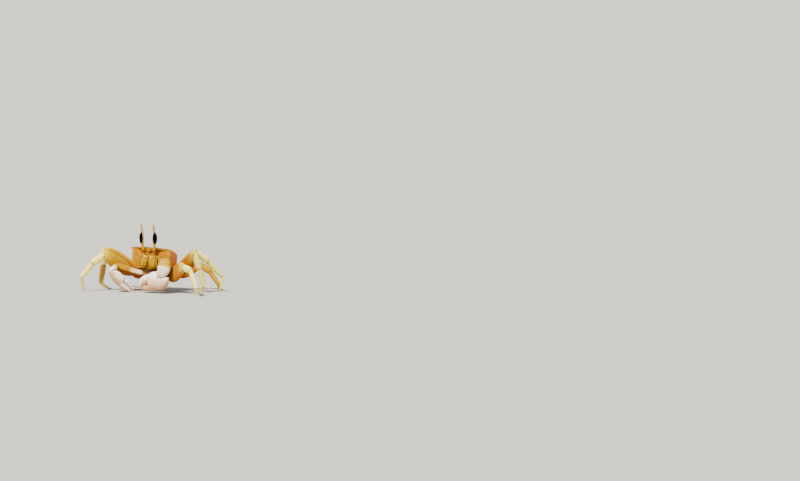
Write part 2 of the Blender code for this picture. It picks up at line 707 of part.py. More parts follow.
def make_small_claw():
    start, facet, coxa_end = hip(1, "r")
    palm_way = unit(SMALL_TIP - SMALL_WRIST)
    bend_elbow = shared_plane(coxa_end, SMALL_ELBOW, SMALL_WRIST)
    bend_wrist = unit(unit(SMALL_WRIST - SMALL_ELBOW) + palm_way)
    last = SMALL_ELBOW - unit(SMALL_ELBOW - coxa_end) * GAP / 2 / np.dot(
        unit(SMALL_ELBOW - coxa_end), bend_elbow
    )
    path = bezier((start, coxa_end, coxa_end + (SMALL_ELBOW - coxa_end) * 0.3, last), 60)
    side = np.cross(unit(SMALL_ELBOW - coxa_end), (0, 0, 1))
    rings = swept(path, side, scaled(CLAW_MERUS, SMALL_GIRTH), facet, bend_elbow, sides=14, blend=0.36)
    skin_rings("claw_r_merus", rings, GOLDEN)
    path = between(SMALL_ELBOW, SMALL_WRIST, bend_elbow, bend_wrist)
    rings = swept(path, side, SMALL_CARPUS, bend_elbow, bend_wrist, sides=14)
    skin_rings("claw_r_carpus", rings, WHITE)
    flat, rise = SMALL_PALM_LEAN
    up = unit(flat * heading_vector(SMALL_PALM_HEADING) + rise * np.array([0.0, 0.0, 1.0]))
    up = unit(up - np.dot(up, palm_way) * palm_way)
    across = np.cross(palm_way, up)
    length = np.linalg.norm(SMALL_TIP - SMALL_WRIST)
    profile = tuple((row[0] / SMALL_PALM[-1][0],) + row[1:] for row in SMALL_PALM)
    first = SMALL_WRIST + palm_way * GAP / 2 / np.dot(palm_way, bend_wrist)
    path = np.linspace(first, SMALL_TIP, 30)
    floor = np.array([0.0, 0.0, -1.0])
    rings = swept(path, across, profile, bend_wrist, floor, sides=14, power=2.4, blend=0.25, reach=3.0)
    rings[-1][:, 2] = 0.0
    skin_rings("claw_r_palm", rings, WHITE)
    share = length / SMALL_PALM[-1][0]
    lift = np.cross(across, palm_way)
    if np.dot(lift, up) < 0:
        lift = -lift
    route = [
        SMALL_WRIST + palm_way * x * share + lift * y
        for x, y in ((16.0, 1.9), (21.0, 3.4), (27.0, 2.6), (31.4, 1.6))
    ]
    path = bezier(route, 50)
    socket = unit(palm_way * 5.1 + lift * 1.2)
    rings = swept(path, across, SMALL_FINGER, socket, unit(path[-1] - path[-2]), sides=12)
    skin_rings("claw_r_dactyl", rings, WHITE)


def main():
    for thing in list(bpy.data.objects):
        bpy.data.objects.remove(thing, do_unlink=True)
    make_carapace()
    make_sternum()
    make_abdomen()
    for side in ("l", "r"):
        make_mouth(side)
        make_feeler(side)
        make_eye(side)
    make_big_claw()
    make_small_claw()
    for row in LEGS:
        make_leg(*row)


main()
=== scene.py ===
"""Looks of a life-size horned ghost crab, a still model of one animal.

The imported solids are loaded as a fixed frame. Each solid is then covered by a
finer surface of the same form, worked out with numpy in millimetres in the
maker's frame of the solids and turned to metres when its mesh is made. The
crab faces -Y and its left side is +X.
"""
import math

import bpy
import numpy as np
from mathutils import Matrix


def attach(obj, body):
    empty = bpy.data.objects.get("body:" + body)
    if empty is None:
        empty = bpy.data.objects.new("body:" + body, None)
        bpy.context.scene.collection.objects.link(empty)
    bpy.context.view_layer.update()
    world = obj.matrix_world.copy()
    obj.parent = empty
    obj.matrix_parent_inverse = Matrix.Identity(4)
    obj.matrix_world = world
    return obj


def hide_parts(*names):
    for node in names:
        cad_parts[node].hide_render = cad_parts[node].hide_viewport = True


bl_info = {
    "name": "Horned ghost crab",
    "version": (1, 0, 0),
    "blender": (4, 5, 0),
    "location": "View3D > Sidebar > Ghost crab",
    "description": "Builds the shell, eyes, claws and legs of a life-size ghost crab on its frame",
    "category": "Add Mesh",
}

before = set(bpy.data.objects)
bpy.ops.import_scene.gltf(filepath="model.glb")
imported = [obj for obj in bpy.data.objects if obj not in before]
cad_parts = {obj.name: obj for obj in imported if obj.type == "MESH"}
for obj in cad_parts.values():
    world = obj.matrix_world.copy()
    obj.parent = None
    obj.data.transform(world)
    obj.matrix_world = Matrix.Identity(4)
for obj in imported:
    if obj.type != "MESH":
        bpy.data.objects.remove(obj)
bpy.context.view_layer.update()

MM = 0.001
# Open gap at each joint of the solids, in millimetres as every length below
GAP = 0.3
CARAPACE_WIDTH = 46.0
ORIGIN = np.array([-2.21, 0.99, 0.0])
SIGN = {"l": 1, "r": -1}
UP = np.array([0.0, 0.0, 1.0])

# Tilt of the body
BODY_PITCH = 6.0
BODY_ROLL = 3.0
BODY_PIVOT = np.array([0.0, 0.0, 30.0])
BODY_SHIFT = np.array([0.0, -2.5, 0.0])

# Carapace, drawn level
HALF_WIDTH = CARAPACE_WIDTH / 2
CORNER_X = 22.6
CORNER_Y = -16.0
REAR_Y = 16.5
SIDE_END_Y = -4.0
DORSAL_Z = 48.0
CARAPACE_FLOOR_Z = 24.3
MARGIN_CENTRE_Y = -21.3
MARGIN_SWEEP = 5.2
FACE_CENTRE_Y = -21.5
FACE_SWEEP = 5.6
RIDGE_Z = 37.6
RIDGE_RISE = 4.6
LOBE_HALF = 3.6
LOBE_REACH = 3.2
NOTCH_X = 6.3
NOTCH_HALF = 3.0
ORBIT_X = 9.5
ORBIT_HALF = 13.0
ORBIT_DEPTH = 2.6
TOOTH_REACH = 1.8
BACK_MIDDLE = np.array([0.0, -3.0])
LINING_CENTRE = np.array([0.0, -3.0, 23.6])
LINING_HALF = (19.0, 16.0, 2.6)
# Eight rows of points up the wall, as shares of its height, and how far each is drawn in
WALL_SHARES = (0.0, 0.16, 0.36, 0.55, 0.67, 0.79, 0.9, 1.0)
WALL_INSETS = (1.6, 0.7, 0.1, 0.0, 0.0, 0.0, 0.1, 0.35)
# Places up the wall, in rows from its foot, of the marks that run round it
RIDGE_ROW = 3.1
RECESS_ROW = 4.6
# The edge row is the dark line under the margin, partly painted shadow of its overhang
EDGE_ROW = 5.6
MARGIN_ROW = 7.0

# Mouth plates: centre, half width and height, and how far each leans out at its foot
MOUTH_X = 5.05
MOUTH_Z = 32.3
MOUTH_HALF_WIDTH = 4.6
MOUTH_HALF_HEIGHT = 7.1
MOUTH_SPLAY = math.radians(12.0)

# Sternum, as facets walked round from the mouth to the tail, one for each limb
STERNUM_START = np.array([6.3, -15.2])
FACET_HEADING = {1: -58.0, 2: -28.0, 3: -8.0, 4: 12.0, 5: 45.0}
FACET_WIDTH = {1: 8.0, 2: 8.0, 3: 8.0, 4: 8.0, 5: 7.4}
HIP_Z = {1: 18.6, 2: 15.8, 3: 16.6, 4: 17.8, 5: 19.2}
COXA_LENGTH = 4.5
STERNUM_TOP_Z = CARAPACE_FLOOR_Z - GAP

# Segment lengths as shares of the carapace width: merus, carpus, propodus, dactyl
SEGMENT_SHARE = {
    2: (0.90, 0.33, 0.46, 0.38),
    3: (0.97, 0.36, 0.50, 0.41),
    4: (0.93, 0.34, 0.52, 0.41),
    5: (0.66, 0.28, 0.39, 0.33),
}
LEG_GIRTH = {2: 1.0, 3: 1.0, 4: 0.97, 5: 0.9}

# Walking legs: number, side, heading, lean, pitches of three segments, toe swing
LEGS = (
    (2, "r", 204, 14, (33, -34, -53), 13),
    (3, "r", 202, 21, (40, -82, -82), 28),
    (4, "r", 156, 29, (38, -78, -58), 28),
    (5, "r", 120, 0, (34, -35, -50), 10),
    (2, "l", -37, -3, (20, -8, -57), -18),
    (3, "l", -4, -24, (42, -80, -88), -25),
    (4, "l", 14, -32, (51, -47, -55), 15),
    (5, "l", 30, 17, (22, -36, -58), 50),
)

# Profiles: share of the length, reach up, reach down, half thickness
MERUS = (
    (0.00, 4.1, 4.1, 3.2),
    (0.08, 4.3, 4.4, 3.3),
    (0.14, 3.5, 4.0, 2.7),
    (0.22, 3.6, 5.6, 2.7),
    (0.33, 4.7, 7.4, 2.7),
    (0.50, 6.0, 8.0, 2.7),
    (0.68, 6.2, 7.2, 2.6),
    (0.84, 5.8, 5.8, 2.6),
    (0.94, 5.0, 4.7, 2.6),
    (1.00, 4.0, 3.9, 2.4),
)
FRONT_MERUS = (
    (0.00, 4.1, 4.1, 3.2),
    (0.08, 4.3, 4.4, 3.3),
    (0.14, 3.5, 4.0, 2.7),
    (0.22, 3.8, 5.8, 2.7),
    (0.33, 5.4, 8.0, 2.7),
    (0.50, 7.0, 9.4, 2.7),
    (0.68, 7.8, 8.6, 2.6),
    (0.84, 7.6, 6.6, 2.6),
    (0.94, 6.6, 5.2, 2.6),
    (1.00, 5.2, 4.2, 2.4),
)
# How far a merus arches up near its root
MERUS_ARCH = {(2, "r"): 2.0, (3, "r"): 5.0, (4, "r"): 8.0}
CARPUS = (
    (0.00, 3.2, 3.0, 2.1),
    (0.22, 4.1, 3.4, 2.5),
    (0.55, 4.3, 3.8, 2.6),
    (0.85, 3.9, 3.7, 2.5),
    (1.00, 3.3, 3.2, 2.1),
)
PROPODUS = (
    (0.00, 2.7, 2.7, 1.8),
    (0.15, 3.2, 3.2, 2.0),
    (0.50, 3.1, 3.1, 1.9),
    (0.82, 2.6, 2.6, 1.7),
    (1.00, 2.1, 2.1, 1.4),
)
DACTYL = (
    (0.00, 1.7, 1.7, 1.3),
    (0.14, 2.1, 2.1, 1.5),
    (0.40, 1.8, 1.8, 1.3),
    (0.70, 1.2, 1.2, 0.9),
    (0.90, 0.75, 0.75, 0.65),
    (1.00, 0.55, 0.55, 0.5),
)
DACTYL_BOW = 0.07

# Claw limbs
CLAW_MERUS = (
    (0.00, 3.6, 3.6, 3.1),
    (0.14, 3.8, 3.8, 3.2),
    (0.26, 3.2, 3.2, 2.8),
    (0.45, 3.9, 3.9, 3.1),
    (0.70, 4.6, 4.6, 3.2),
    (0.90, 4.7, 4.7, 3.2),
    (1.00, 4.1, 4.1, 2.9),
)
BIG_CARPUS = (
    (0.00, 1.6, 1.6, 2.6),
    (0.05, 3.0, 3.2, 4.6),
    (0.14, 4.2, 4.6, 6.2),
    (0.30, 5.0, 5.6, 7.1),
    (0.55, 5.2, 5.8, 7.1),
    (0.80, 4.6, 5.2, 6.0),
    (1.00, 3.8, 4.4, 4.4),
)
SMALL_CARPUS = (
    (0.00, 2.7, 2.0, 2.6),
    (0.22, 4.0, 1.8, 4.2),
    (0.52, 4.6, 2.1, 5.0),
    (0.82, 4.2, 2.6, 4.6),
    (1.00, 3.5, 3.0, 3.5),
)
# Palm with its fixed finger: place along the palm, top, minus bottom, half thickness
BIG_PALM = (
    (-0.6, 3.0, -0.4, 1.6),
    (0.4, 3.7, 2.6, 2.9),
    (2.2, 3.8, 5.8, 4.1),
    (5.0, 3.8, 8.4, 5.1),
    (10.7, 3.4, 9.8, 5.6),
    (11.7, 9.8, 9.8, 5.6),
    (14.0, 11.0, 9.8, 5.8),
    (18.5, 10.8, 9.7, 5.8),
    (21.8, 9.7, 9.5, 5.4),
    (23.6, 8.7, 9.4, 5.1),
    (25.2, -4.2, 9.3, 4.0),
    (29.5, -4.1, 8.9, 3.4),
    (34.0, -5.2, 7.9, 2.2),
    (36.6, -6.5, 7.2, 0.6),
)
BIG_FINGER = (
    (0.00, 5.7, 5.5, 4.3),
    (0.10, 5.7, 5.5, 4.6),
    (0.30, 4.9, 5.6, 4.1),
    (0.55, 3.8, 5.0, 3.2),
    (0.80, 2.3, 2.9, 2.0),
    (1.00, 0.6, 0.6, 0.6),
)
SMALL_PALM = (
    (0.0, 3.3, 3.9, 2.4),
    (2.5, 4.3, 5.4, 3.2),
    (7.0, 5.0, 6.8, 3.7),
    (12.0, 5.0, 7.2, 3.7),
    (14.4, 4.2, 7.2, 3.3),
    (15.6, -0.9, 7.0, 2.9),
    (20.0, -0.9, 6.1, 2.5),
    (26.0, -0.7, 4.2, 1.8),
    (30.5, -0.2, 2.3, 1.0),
    (32.0, 0.3, 1.0, 0.6),
)
SMALL_FINGER = (
    (0.00, 2.3, 2.3, 2.1),
    (0.12, 2.5, 2.5, 2.4),
    (0.40, 2.1, 2.1, 2.0),
    (0.70, 1.4, 1.4, 1.3),
    (1.00, 0.45, 0.45, 0.45),
)
BIG_ELBOW = np.array([23.2, -26.2, 31.9])
BIG_MERUS_BEND = np.array([15.2, -23.8, 19.4])
BIG_WRIST = np.array([17.2, -33.4, 22.6])
BIG_ELBOW_LEAVES = np.array([-0.09, -0.96, -0.26])
BIG_CARPUS_CROWN = np.array([23.2, -32.0, 39.2])
BIG_CARPUS_BULGE = np.array([24.9, -33.0, 28.8])
BIG_CARPUS_HEADING = 24.0
BIG_HEEL = np.array([28.2, -33.6, 15.0])
BIG_DISTAL = np.array([-9.6, -26.3, 10.9])
SMALL_ELBOW = np.array([-33.8, -31.4, 28.6])
SMALL_WRIST = np.array([-35.2, -40.0, 23.8])
SMALL_TIP = np.array([-18.0, -25.6, 0.0])
SMALL_PALM_HEADING = 24.0
SMALL_PALM_LEAN = (0.73, 0.68)
SMALL_GIRTH = 0.84

# Eyes: bulb centre, stalk foot and horn, and the bulb's half sizes
EYE_X = 8.05
EYE_Y = -23.6
EYE_Z = 60.1
EYE_FOOT = np.array([6.2, -22.7, 43.6])
PEDUNCLE_TOP = -5.6
HORN_ROOT = 5.0
CORNEA_CUT = -0.6
BULB = (2.6, 2.65, 6.5)
EYE_TURN = 40.0
HORN_LEAN = -1.1
# Height from the bulb's centre, set back from the cornea, half sizes
STALK = (
    (-16.4, 0.0, 1.4, 1.4),
    (-15.4, 0.0, 2.0, 2.0),
    (-12.0, 0.0, 2.1, 2.1),
    (-10.0, -0.2, 1.7, 1.7),
    (-8.2, -0.5, 1.4, 1.4),
    (-6.8, -0.6, 1.5, 1.5),
    (-5.9, -0.9, 1.8, 1.8),
    (-3.2, -0.6, 2.1, 2.3),
    (0.0, -0.1, 2.6, 2.65),
    (3.2, -0.6, 2.1, 2.3),
    (5.0, -1.0, 1.5, 1.6),
    (6.4, -1.1, 1.35, 1.4),
    (9.0, -1.1, 1.3, 1.35),
    (12.5, -1.0, 1.2, 1.25),
    (14.6, -0.95, 1.05, 1.05),
    (15.4, -0.95, 0.6, 0.6),
)

# The photograph's view: frame in pixels, the crab's foot point and its scale there
IMAGE_WIDTH = 800
IMAGE_HEIGHT = 481
FOOT_PIXEL = (156.9, 290.8)
MM_PER_PIXEL = 1.106
SENSOR_WIDTH = 36.0

# Stage: half the floor's side in metres, and for each light its way in shares of the camera's
# right, of the way back to the camera and of up, its spread in degrees, strength and colour
FLOOR_HALF = 16.0
LIGHTS = (
    ("key_light", (0.5, -0.75, -0.95), 9, "key_strength", (1.0, 0.965, 0.9)),
    ("fill_light", (-0.8, -0.6, -0.3), 40, "fill_strength", (0.92, 0.96, 1.0)),
)
SURROUND = (0.86, 0.9, 0.95, 1.0)

# Mesh detail: an edge sharper than this stays sharp, and the rings that close an end
SHARP_ANGLE = math.radians(55)
CAP_SHARES = np.array([0.96, 0.86, 0.66, 0.4, 0.15])
# How far before and behind a point the direction of a path is taken
STEP = 0.3


def linear(code):
    """sRGB hex colour as linear red, green and blue."""
    channels = np.array([int(code[k : k + 2], 16) / 255 for k in (1, 3, 5)])
    low = channels / 12.92
    high = ((channels + 0.055) / 1.055) ** 2.4
    return tuple(float(value) for value in np.where(channels <= 0.04045, low, high))


def unit(vector):
    """A vector at length one."""
    vector = np.asarray(vector, float)
    return vector / np.linalg.norm(vector)


def heading_vector(degrees):
    """The level way at an angle from the crab's left, turning to its back."""
    angle = math.radians(degrees)
    return np.array([math.cos(angle), math.sin(angle), 0.0])


def body_turn(points):
    """Tilt directions: front up by the pitch, then the left side down by the roll."""
    pitch = math.radians(BODY_PITCH)
    roll = math.radians(BODY_ROLL)
    about_x = np.array([
        [1, 0, 0],
        [0, math.cos(pitch), math.sin(pitch)],
        [0, -math.sin(pitch), math.cos(pitch)],
    ])
    about_y = np.array([
        [math.cos(roll), 0, math.sin(roll)],
        [0, 1, 0],
        [-math.sin(roll), 0, math.cos(roll)],
    ])
    return np.asarray(points, float) @ (about_y @ about_x).T


def body_place(points):
    """Tilt points drawn on the level body about the pivot and set them in place."""
    return body_turn(np.asarray(points, float) - BODY_PIVOT) + BODY_PIVOT + BODY_SHIFT


def bump(x, centre, half):
    """A smooth hill: 1 at the centre, falling to 0 at the half width."""
    reach = np.clip(np.abs(np.asarray(x, float) - centre) / half, 0, 1)
    return 0.5 + 0.5 * np.cos(np.pi * reach)


def hill(x, centre, half):
    """A bell curve: 1 at the centre and about a third at the half width."""
    return np.exp(-(((x - centre) / half) ** 2))


def smooth_rows(shares, rows):
    """Rows of a profile read between their places on a monotone cubic.

    Between two rows each value runs on a cubic whose end slopes are the
    harmonic mean of the slopes beside it, or level where those change sign,
    so nothing swells past its rows.
    """
    rows = np.asarray(rows, float)
    x, y = rows[:, 0], rows[:, 1:]
    step = np.diff(x)[:, None]
    slope = np.diff(y, axis=0) / step
    product = slope[:-1] * slope[1:]
    total = slope[:-1] + slope[1:]
    inner = np.where(product > 0, 2 * product / np.where(total == 0, 1, total), 0)
    ends = np.vstack([slope[:1], inner, slope[-1:]])
    k = np.clip(np.searchsorted(x, shares, side="right") - 1, 0, len(x) - 2)
    h = step[k]
    t = ((shares - x[k]) / h[:, 0])[:, None]
    start = (1 + 2 * t) * (1 - t) ** 2 * y[k] + t * (1 - t) ** 2 * h * ends[k]
    return start + t**2 * (3 - 2 * t) * y[k + 1] + t**2 * (t - 1) * h * ends[k + 1]


def bezier(points, count):
    """Points on the Bezier curve of the given control points."""
    points = np.asarray(points, float)
    degree = len(points) - 1
    t = np.linspace(0, 1, count)[:, None]
    curve = np.zeros((count, 3))
    for k, point in enumerate(points):
        curve += math.comb(degree, k) * t**k * (1 - t) ** (degree - k) * point
    return curve


def walked(path):
    """Distance along a path to each of its points."""
    return np.concatenate([[0], np.cumsum(np.linalg.norm(np.diff(path, axis=0), axis=1))])


def points_at(path, distances):
    """Points of a path at the given distances along it."""
    length = walked(path)
    return np.stack([np.interp(distances, length, column) for column in path.T], axis=1)


def along(path, shares):
    """Points and directions at shares of a path's length."""
    length = walked(path)[-1]
    wanted = np.asarray(shares) * length
    ahead = points_at(path, np.clip(wanted + STEP, 0, length))
    behind = points_at(path, np.clip(wanted - STEP, 0, length))
    return points_at(path, wanted), [unit(step) for step in ahead - behind], length


def oval(sides, power):
    """Unit superellipse: 2 is round, more is squarer."""
    angle = 2 * np.pi * np.arange(sides) / sides
    across = np.sign(np.cos(angle)) * np.abs(np.cos(angle)) ** (2 / power)
    upward = np.sign(np.sin(angle)) * np.abs(np.sin(angle)) ** (2 / power)
    return across, upward


def limb(path, side, rows, start, end, rings=90, sides=56, power=2.3, blend=0.5, reach=1.35):
    """Surface of a limb segment as a grid of rings, with its two fields.

    Each ring is an oval across the path, its sizes read from the smoothed
    rows. Towards each end the ring is sheared along the path until the last
    one lies in the joint's plane. The shear fades over the blend share, and a
    point stays within a few reaches of the joint there. The edge at each end
    is rolled in a little. The fields are the share along the segment and the
    height in the section, from -1 below to 1 above.
    """
    shares = 0.5 - 0.5 * np.cos(np.pi * np.linspace(0, 1, rings))
    sizes = smooth_rows(shares, rows)
    centres, tangents, length = along(path, shares)
    across, upward = oval(sides, power)
    near_end = np.minimum(shares, 1 - shares) * length
    sizes *= (1 - 0.08 * np.exp(-near_end / 0.35))[:, None]
    w = np.asarray(side, float)
    frames = []
    for t in tangents:
        w = unit(w - np.dot(w, t) * t)
        frames.append((t, w, np.cross(w, t)))
    t, w, u = (np.array(vectors) for vectors in zip(*frames))
    x = sizes[:, 2:3] * across
    y = (sizes[:, 0:1] - sizes[:, 1:2]) / 2 + (sizes[:, 0:1] + sizes[:, 1:2]) / 2 * upward
    shear = np.zeros_like(x)
    pull = np.ones_like(x)
    for level, normal, far in ((0, start, shares), (-1, end, 1 - shares)):
        slope_w = -np.dot(w[level], normal) / np.dot(t[level], normal)
        slope_u = -np.dot(u[level], normal) / np.dot(t[level], normal)
        fade = np.clip(1 - far / blend, 0, None)[:, None]
        shear += fade * (x * slope_w + y * slope_u)
        size = np.hypot(np.hypot(x[level], y[level]), x[level] * slope_w + y[level] * slope_u)
        hold = np.minimum(1, reach * sizes[level].max() / np.maximum(size, 1e-6))
        close = np.clip(1 - far / 0.16, 0, None)[:, None]
        pull *= 1 - close * (1 - hold)
    offset = x[..., None] * w[:, None] + y[..., None] * u[:, None] + shear[..., None] * t[:, None]
    grid = centres[:, None] + offset * pull[..., None]
    return grid, ring_fields(shares, upward), length


def ring_fields(shares, crest):
    """The fields of a grid: a share for each ring, and a height for each place round it."""
    wide = np.ones((len(shares), len(crest)))
    return {"along": shares[:, None] * wide, "crest": crest * wide}


def rod(path, side, rows, rings, sides, power=2.0):
    """A limb whose two ends are cut square to its path."""
    first, last = unit(path[1] - path[0]), unit(path[-1] - path[-2])
    return limb(path, side, rows, first, last, rings, sides, power)


def scaled(profile, girth):
    """A profile's rows with every size, but not the place, times the girth."""
    return tuple((row[0],) + tuple(value * girth for value in row[1:]) for row in profile)


def capped(grid, fields, dome=0.0):
    """Close both ends with rings drawn in towards the middle, domed out by a little."""
    shares = CAP_SHARES[:, None, None]
    ends = []
    for level, inner in ((0, 6), (-1, -12)):
        middle = grid[level].mean(axis=0)
        out = unit(middle - grid[inner].mean(axis=0))
        ends.append(middle + (grid[level] - middle) * shares + dome * np.sqrt(1 - shares**2) * out)
    closed = np.concatenate([ends[0][::-1], grid, ends[1]])
    wide = {}
    for name, values in fields.items():
        first = np.repeat(values[:1], len(shares), axis=0)
        last = np.repeat(values[-1:], len(shares), axis=0)
        wide[name] = np.concatenate([first, values, last])
    return closed, wide


def displaced(grid, amount):
    """Move a grid's points along its outward normals by an amount in millimetres."""
    down = np.gradient(grid, axis=0)
    round_ = np.roll(grid, -1, axis=1) - np.roll(grid, 1, axis=1)
    normal = np.cross(round_, down)
    normal /= np.maximum(np.linalg.norm(normal, axis=2, keepdims=True), 1e-9)
    outward = grid - grid.mean(axis=1, keepdims=True)
    if np.sum(normal * outward) < 0:
        normal = -normal
    return grid + normal * amount[..., None]


def scatter(i, j, seed):
    """A repeatable fraction from 0 to 1 for each cell of a lattice."""
    value = np.sin(i * 127.1 + j * 311.7 + seed * 74.7) * 43758.5453
    return value - np.floor(value)


def grains(length, turn, spacing, girth, seed, size=0.42):
    """Round grains: heights 0 to 1 on a jittered lattice.

    Length is in millimetres along the surface and turn is the share round it.
    Each cell holds one grain, moved off its middle by the cell's own
    fractions, and its height falls with the square of the distance from it.
    """
    around = max(3, int(round(girth / spacing)))
    a, b = length / spacing, turn * around
    height = np.zeros(np.broadcast(a, b).shape)
    for di in (-1, 0, 1):
        for dj in (-1, 0, 1):
            i, j = np.floor(a) + di, np.floor(b) + dj
            key = np.mod(j, around)
            x = i + 0.5 + 0.6 * (scatter(i, key, seed) - 0.5)
            y = j + 0.5 + 0.6 * (scatter(i, key, seed + 1) - 0.5)
            grow = 0.6 + 0.4 * scatter(i, key, seed + 2)
            far = ((a - x) ** 2 + (b - y) ** 2) / (size * grow) ** 2
            height = np.maximum(height, np.clip(1 - far, 0, 1) * grow)
    return height


def piece(name, parts, wearer, slot, *replaced):
    """One object from closed grids of rings, each with a pole at either end."""
    points, faces, fields, base = [], [], {}, 0
    for grid, values in parts:
        rings, sides = grid.shape[:2]
        poles = grid[[0, -1]].mean(axis=1)
        cloud = np.vstack([grid.reshape(-1, 3), poles])
        index = np.arange(rings * sides).reshape(rings, sides)
        after = np.roll(index, -1, axis=1)
        quads = np.stack([index[:-1], after[:-1], after[1:], index[1:]], axis=-1).reshape(-1, 4)
        first = np.stack([np.full(sides, rings * sides), after[0], index[0]], axis=-1)
        last = np.stack([np.full(sides, rings * sides + 1), index[-1], after[-1]], axis=-1)
        triangles = np.vstack([first, last, quads[:, :3], quads[:, [0, 2, 3]]])
        a, b, c = (cloud[triangles[:, k]] - cloud.mean(axis=0) for k in range(3))
        if np.einsum("ij,ij->", a, np.cross(b, c)) < 0:
            quads, first, last = quads[:, ::-1], first[:, ::-1], last[:, ::-1]
        points.append(cloud)
        faces += (quads + base).tolist() + (first + base).tolist() + (last + base).tolist()
        for key, value in values.items():
            ends = [value[0].mean(), value[-1].mean()]
            fields.setdefault(key, []).append(np.concatenate([value.ravel(), ends]))
        base += len(cloud)
    mesh = bpy.data.meshes.new(name)
    mesh.from_pydata(((np.vstack(points) - ORIGIN) * MM).tolist(), [], faces)
    for key, values in fields.items():
        attribute = mesh.attributes.new(key, "FLOAT", "POINT")
        attribute.data.foreach_set("value", np.concatenate(values).astype(np.float32))
    mesh.shade_smooth()
    mesh.set_sharp_from_angle(angle=SHARP_ANGLE)
    mesh.materials.append(finishes()[wearer])
    thing = bpy.data.objects.new(name, mesh)
    bpy.context.scene.collection.objects.link(thing)
    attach(thing, "root")
    if replaced:
        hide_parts(*replaced)


def blob(centre, axes, sizes, rings=14, sides=20):
    """An ellipsoid as a closed grid: its axes are unit vectors, its sizes half lengths."""
    polar = np.pi * (np.arange(rings) + 0.5) / rings
    turn = 2 * np.pi * np.arange(sides) / sides
    x = np.sin(polar)[:, None] * np.cos(turn) * sizes[0]
    y = np.sin(polar)[:, None] * np.sin(turn) * sizes[1]
    z = np.cos(polar)[:, None] * sizes[2] * np.ones(sides)
    grid = np.asarray(centre) + x[..., None] * axes[0] + y[..., None] * axes[1] + z[..., None] * axes[2]
    return grid, ring_fields(polar / np.pi, turn * 0)


def feed(tree, node, inputs):
    """Link or set a node's inputs, each by its name or number."""
    for key, value in inputs.items():
        if isinstance(value, bpy.types.NodeSocket):
            tree.links.new(value, node.inputs[key])
        else:
            node.inputs[key].default_value = value


def add(tree, kind, inputs, **settings):
    """Add a shader node with its settings and inputs, and give its outputs."""
    node = tree.nodes.new("ShaderNode" + kind)
    for key, value in settings.items():
        setattr(node, key, value)
    feed(tree, node, inputs)
    return node.outputs


def finish(name, textures, coats, sockets, fields=(), sums=None, ramps=None, relief=None):
    """A material from its recipe, on the piece's Object coordinates.

    A field is read from the piece by its name. A texture is its kind, the
    size of its grain in millimetres and, for noise, its detail and roughness.
    A sum is a value times a number, plus a value or number. A ramp carries a
    value from one range to another along a smooth step. The coats are colours
    laid over one another: the lowest alone, and each other one after a value,
    the range over which it comes in, and how much of it lies at either end.
    The relief is a value, the bump's strength, its depth in millimetres, and
    whether high values lie deep. Sockets set the shader's other inputs.
    """
    material = bpy.data.materials.new(name)
    material.use_nodes = True
    tree = material.node_tree
    place = add(tree, "TexCoord", {})["Object"]
    made = {field: add(tree, "Attribute", {}, attribute_name=field)["Fac"] for field in fields}

    def numbered(values):
        """Values by the number of their socket, each name turned to what was made."""
        return {k: made[value] if isinstance(value, str) else value for k, value in enumerate(values)}

    for key, (kind, size, *rest) in textures.items():
        inputs = {"Vector": place, "Scale": 1 / (size * MM), **dict(zip(("Detail", "Roughness"), rest))}
        made[key] = add(tree, "Tex" + kind, inputs)[0]
    for key, values in (sums or {}).items():
        made[key] = add(tree, "Math", numbered(values), operation="MULTIPLY_ADD")[0]
    for key, values in (ramps or {}).items():
        made[key] = add(tree, "MapRange", numbered(values), interpolation_type="SMOOTHSTEP")[0]
    colour = (*coats[0], 1.0)
    for *values, over in coats[1:]:
        amount = add(tree, "MapRange", numbered(values), interpolation_type="SMOOTHSTEP")[0]
        colour = add(tree, "Mix", {0: amount, 6: colour, 7: (*over, 1.0)}, data_type="RGBA")[2]
    inputs = {"Base Color": colour}
    for key, value in sockets.items():
        inputs[key] = made[value] if isinstance(value, str) else value
    if relief:
        value, strength, depth, sunk = relief
        bump_inputs = {"Strength": strength, "Distance": depth * MM, "Height": made[value]}
        inputs["Normal"] = add(tree, "Bump", bump_inputs, invert=sunk)[0]
    feed(tree, tree.nodes["Principled BSDF"], inputs)
    return material


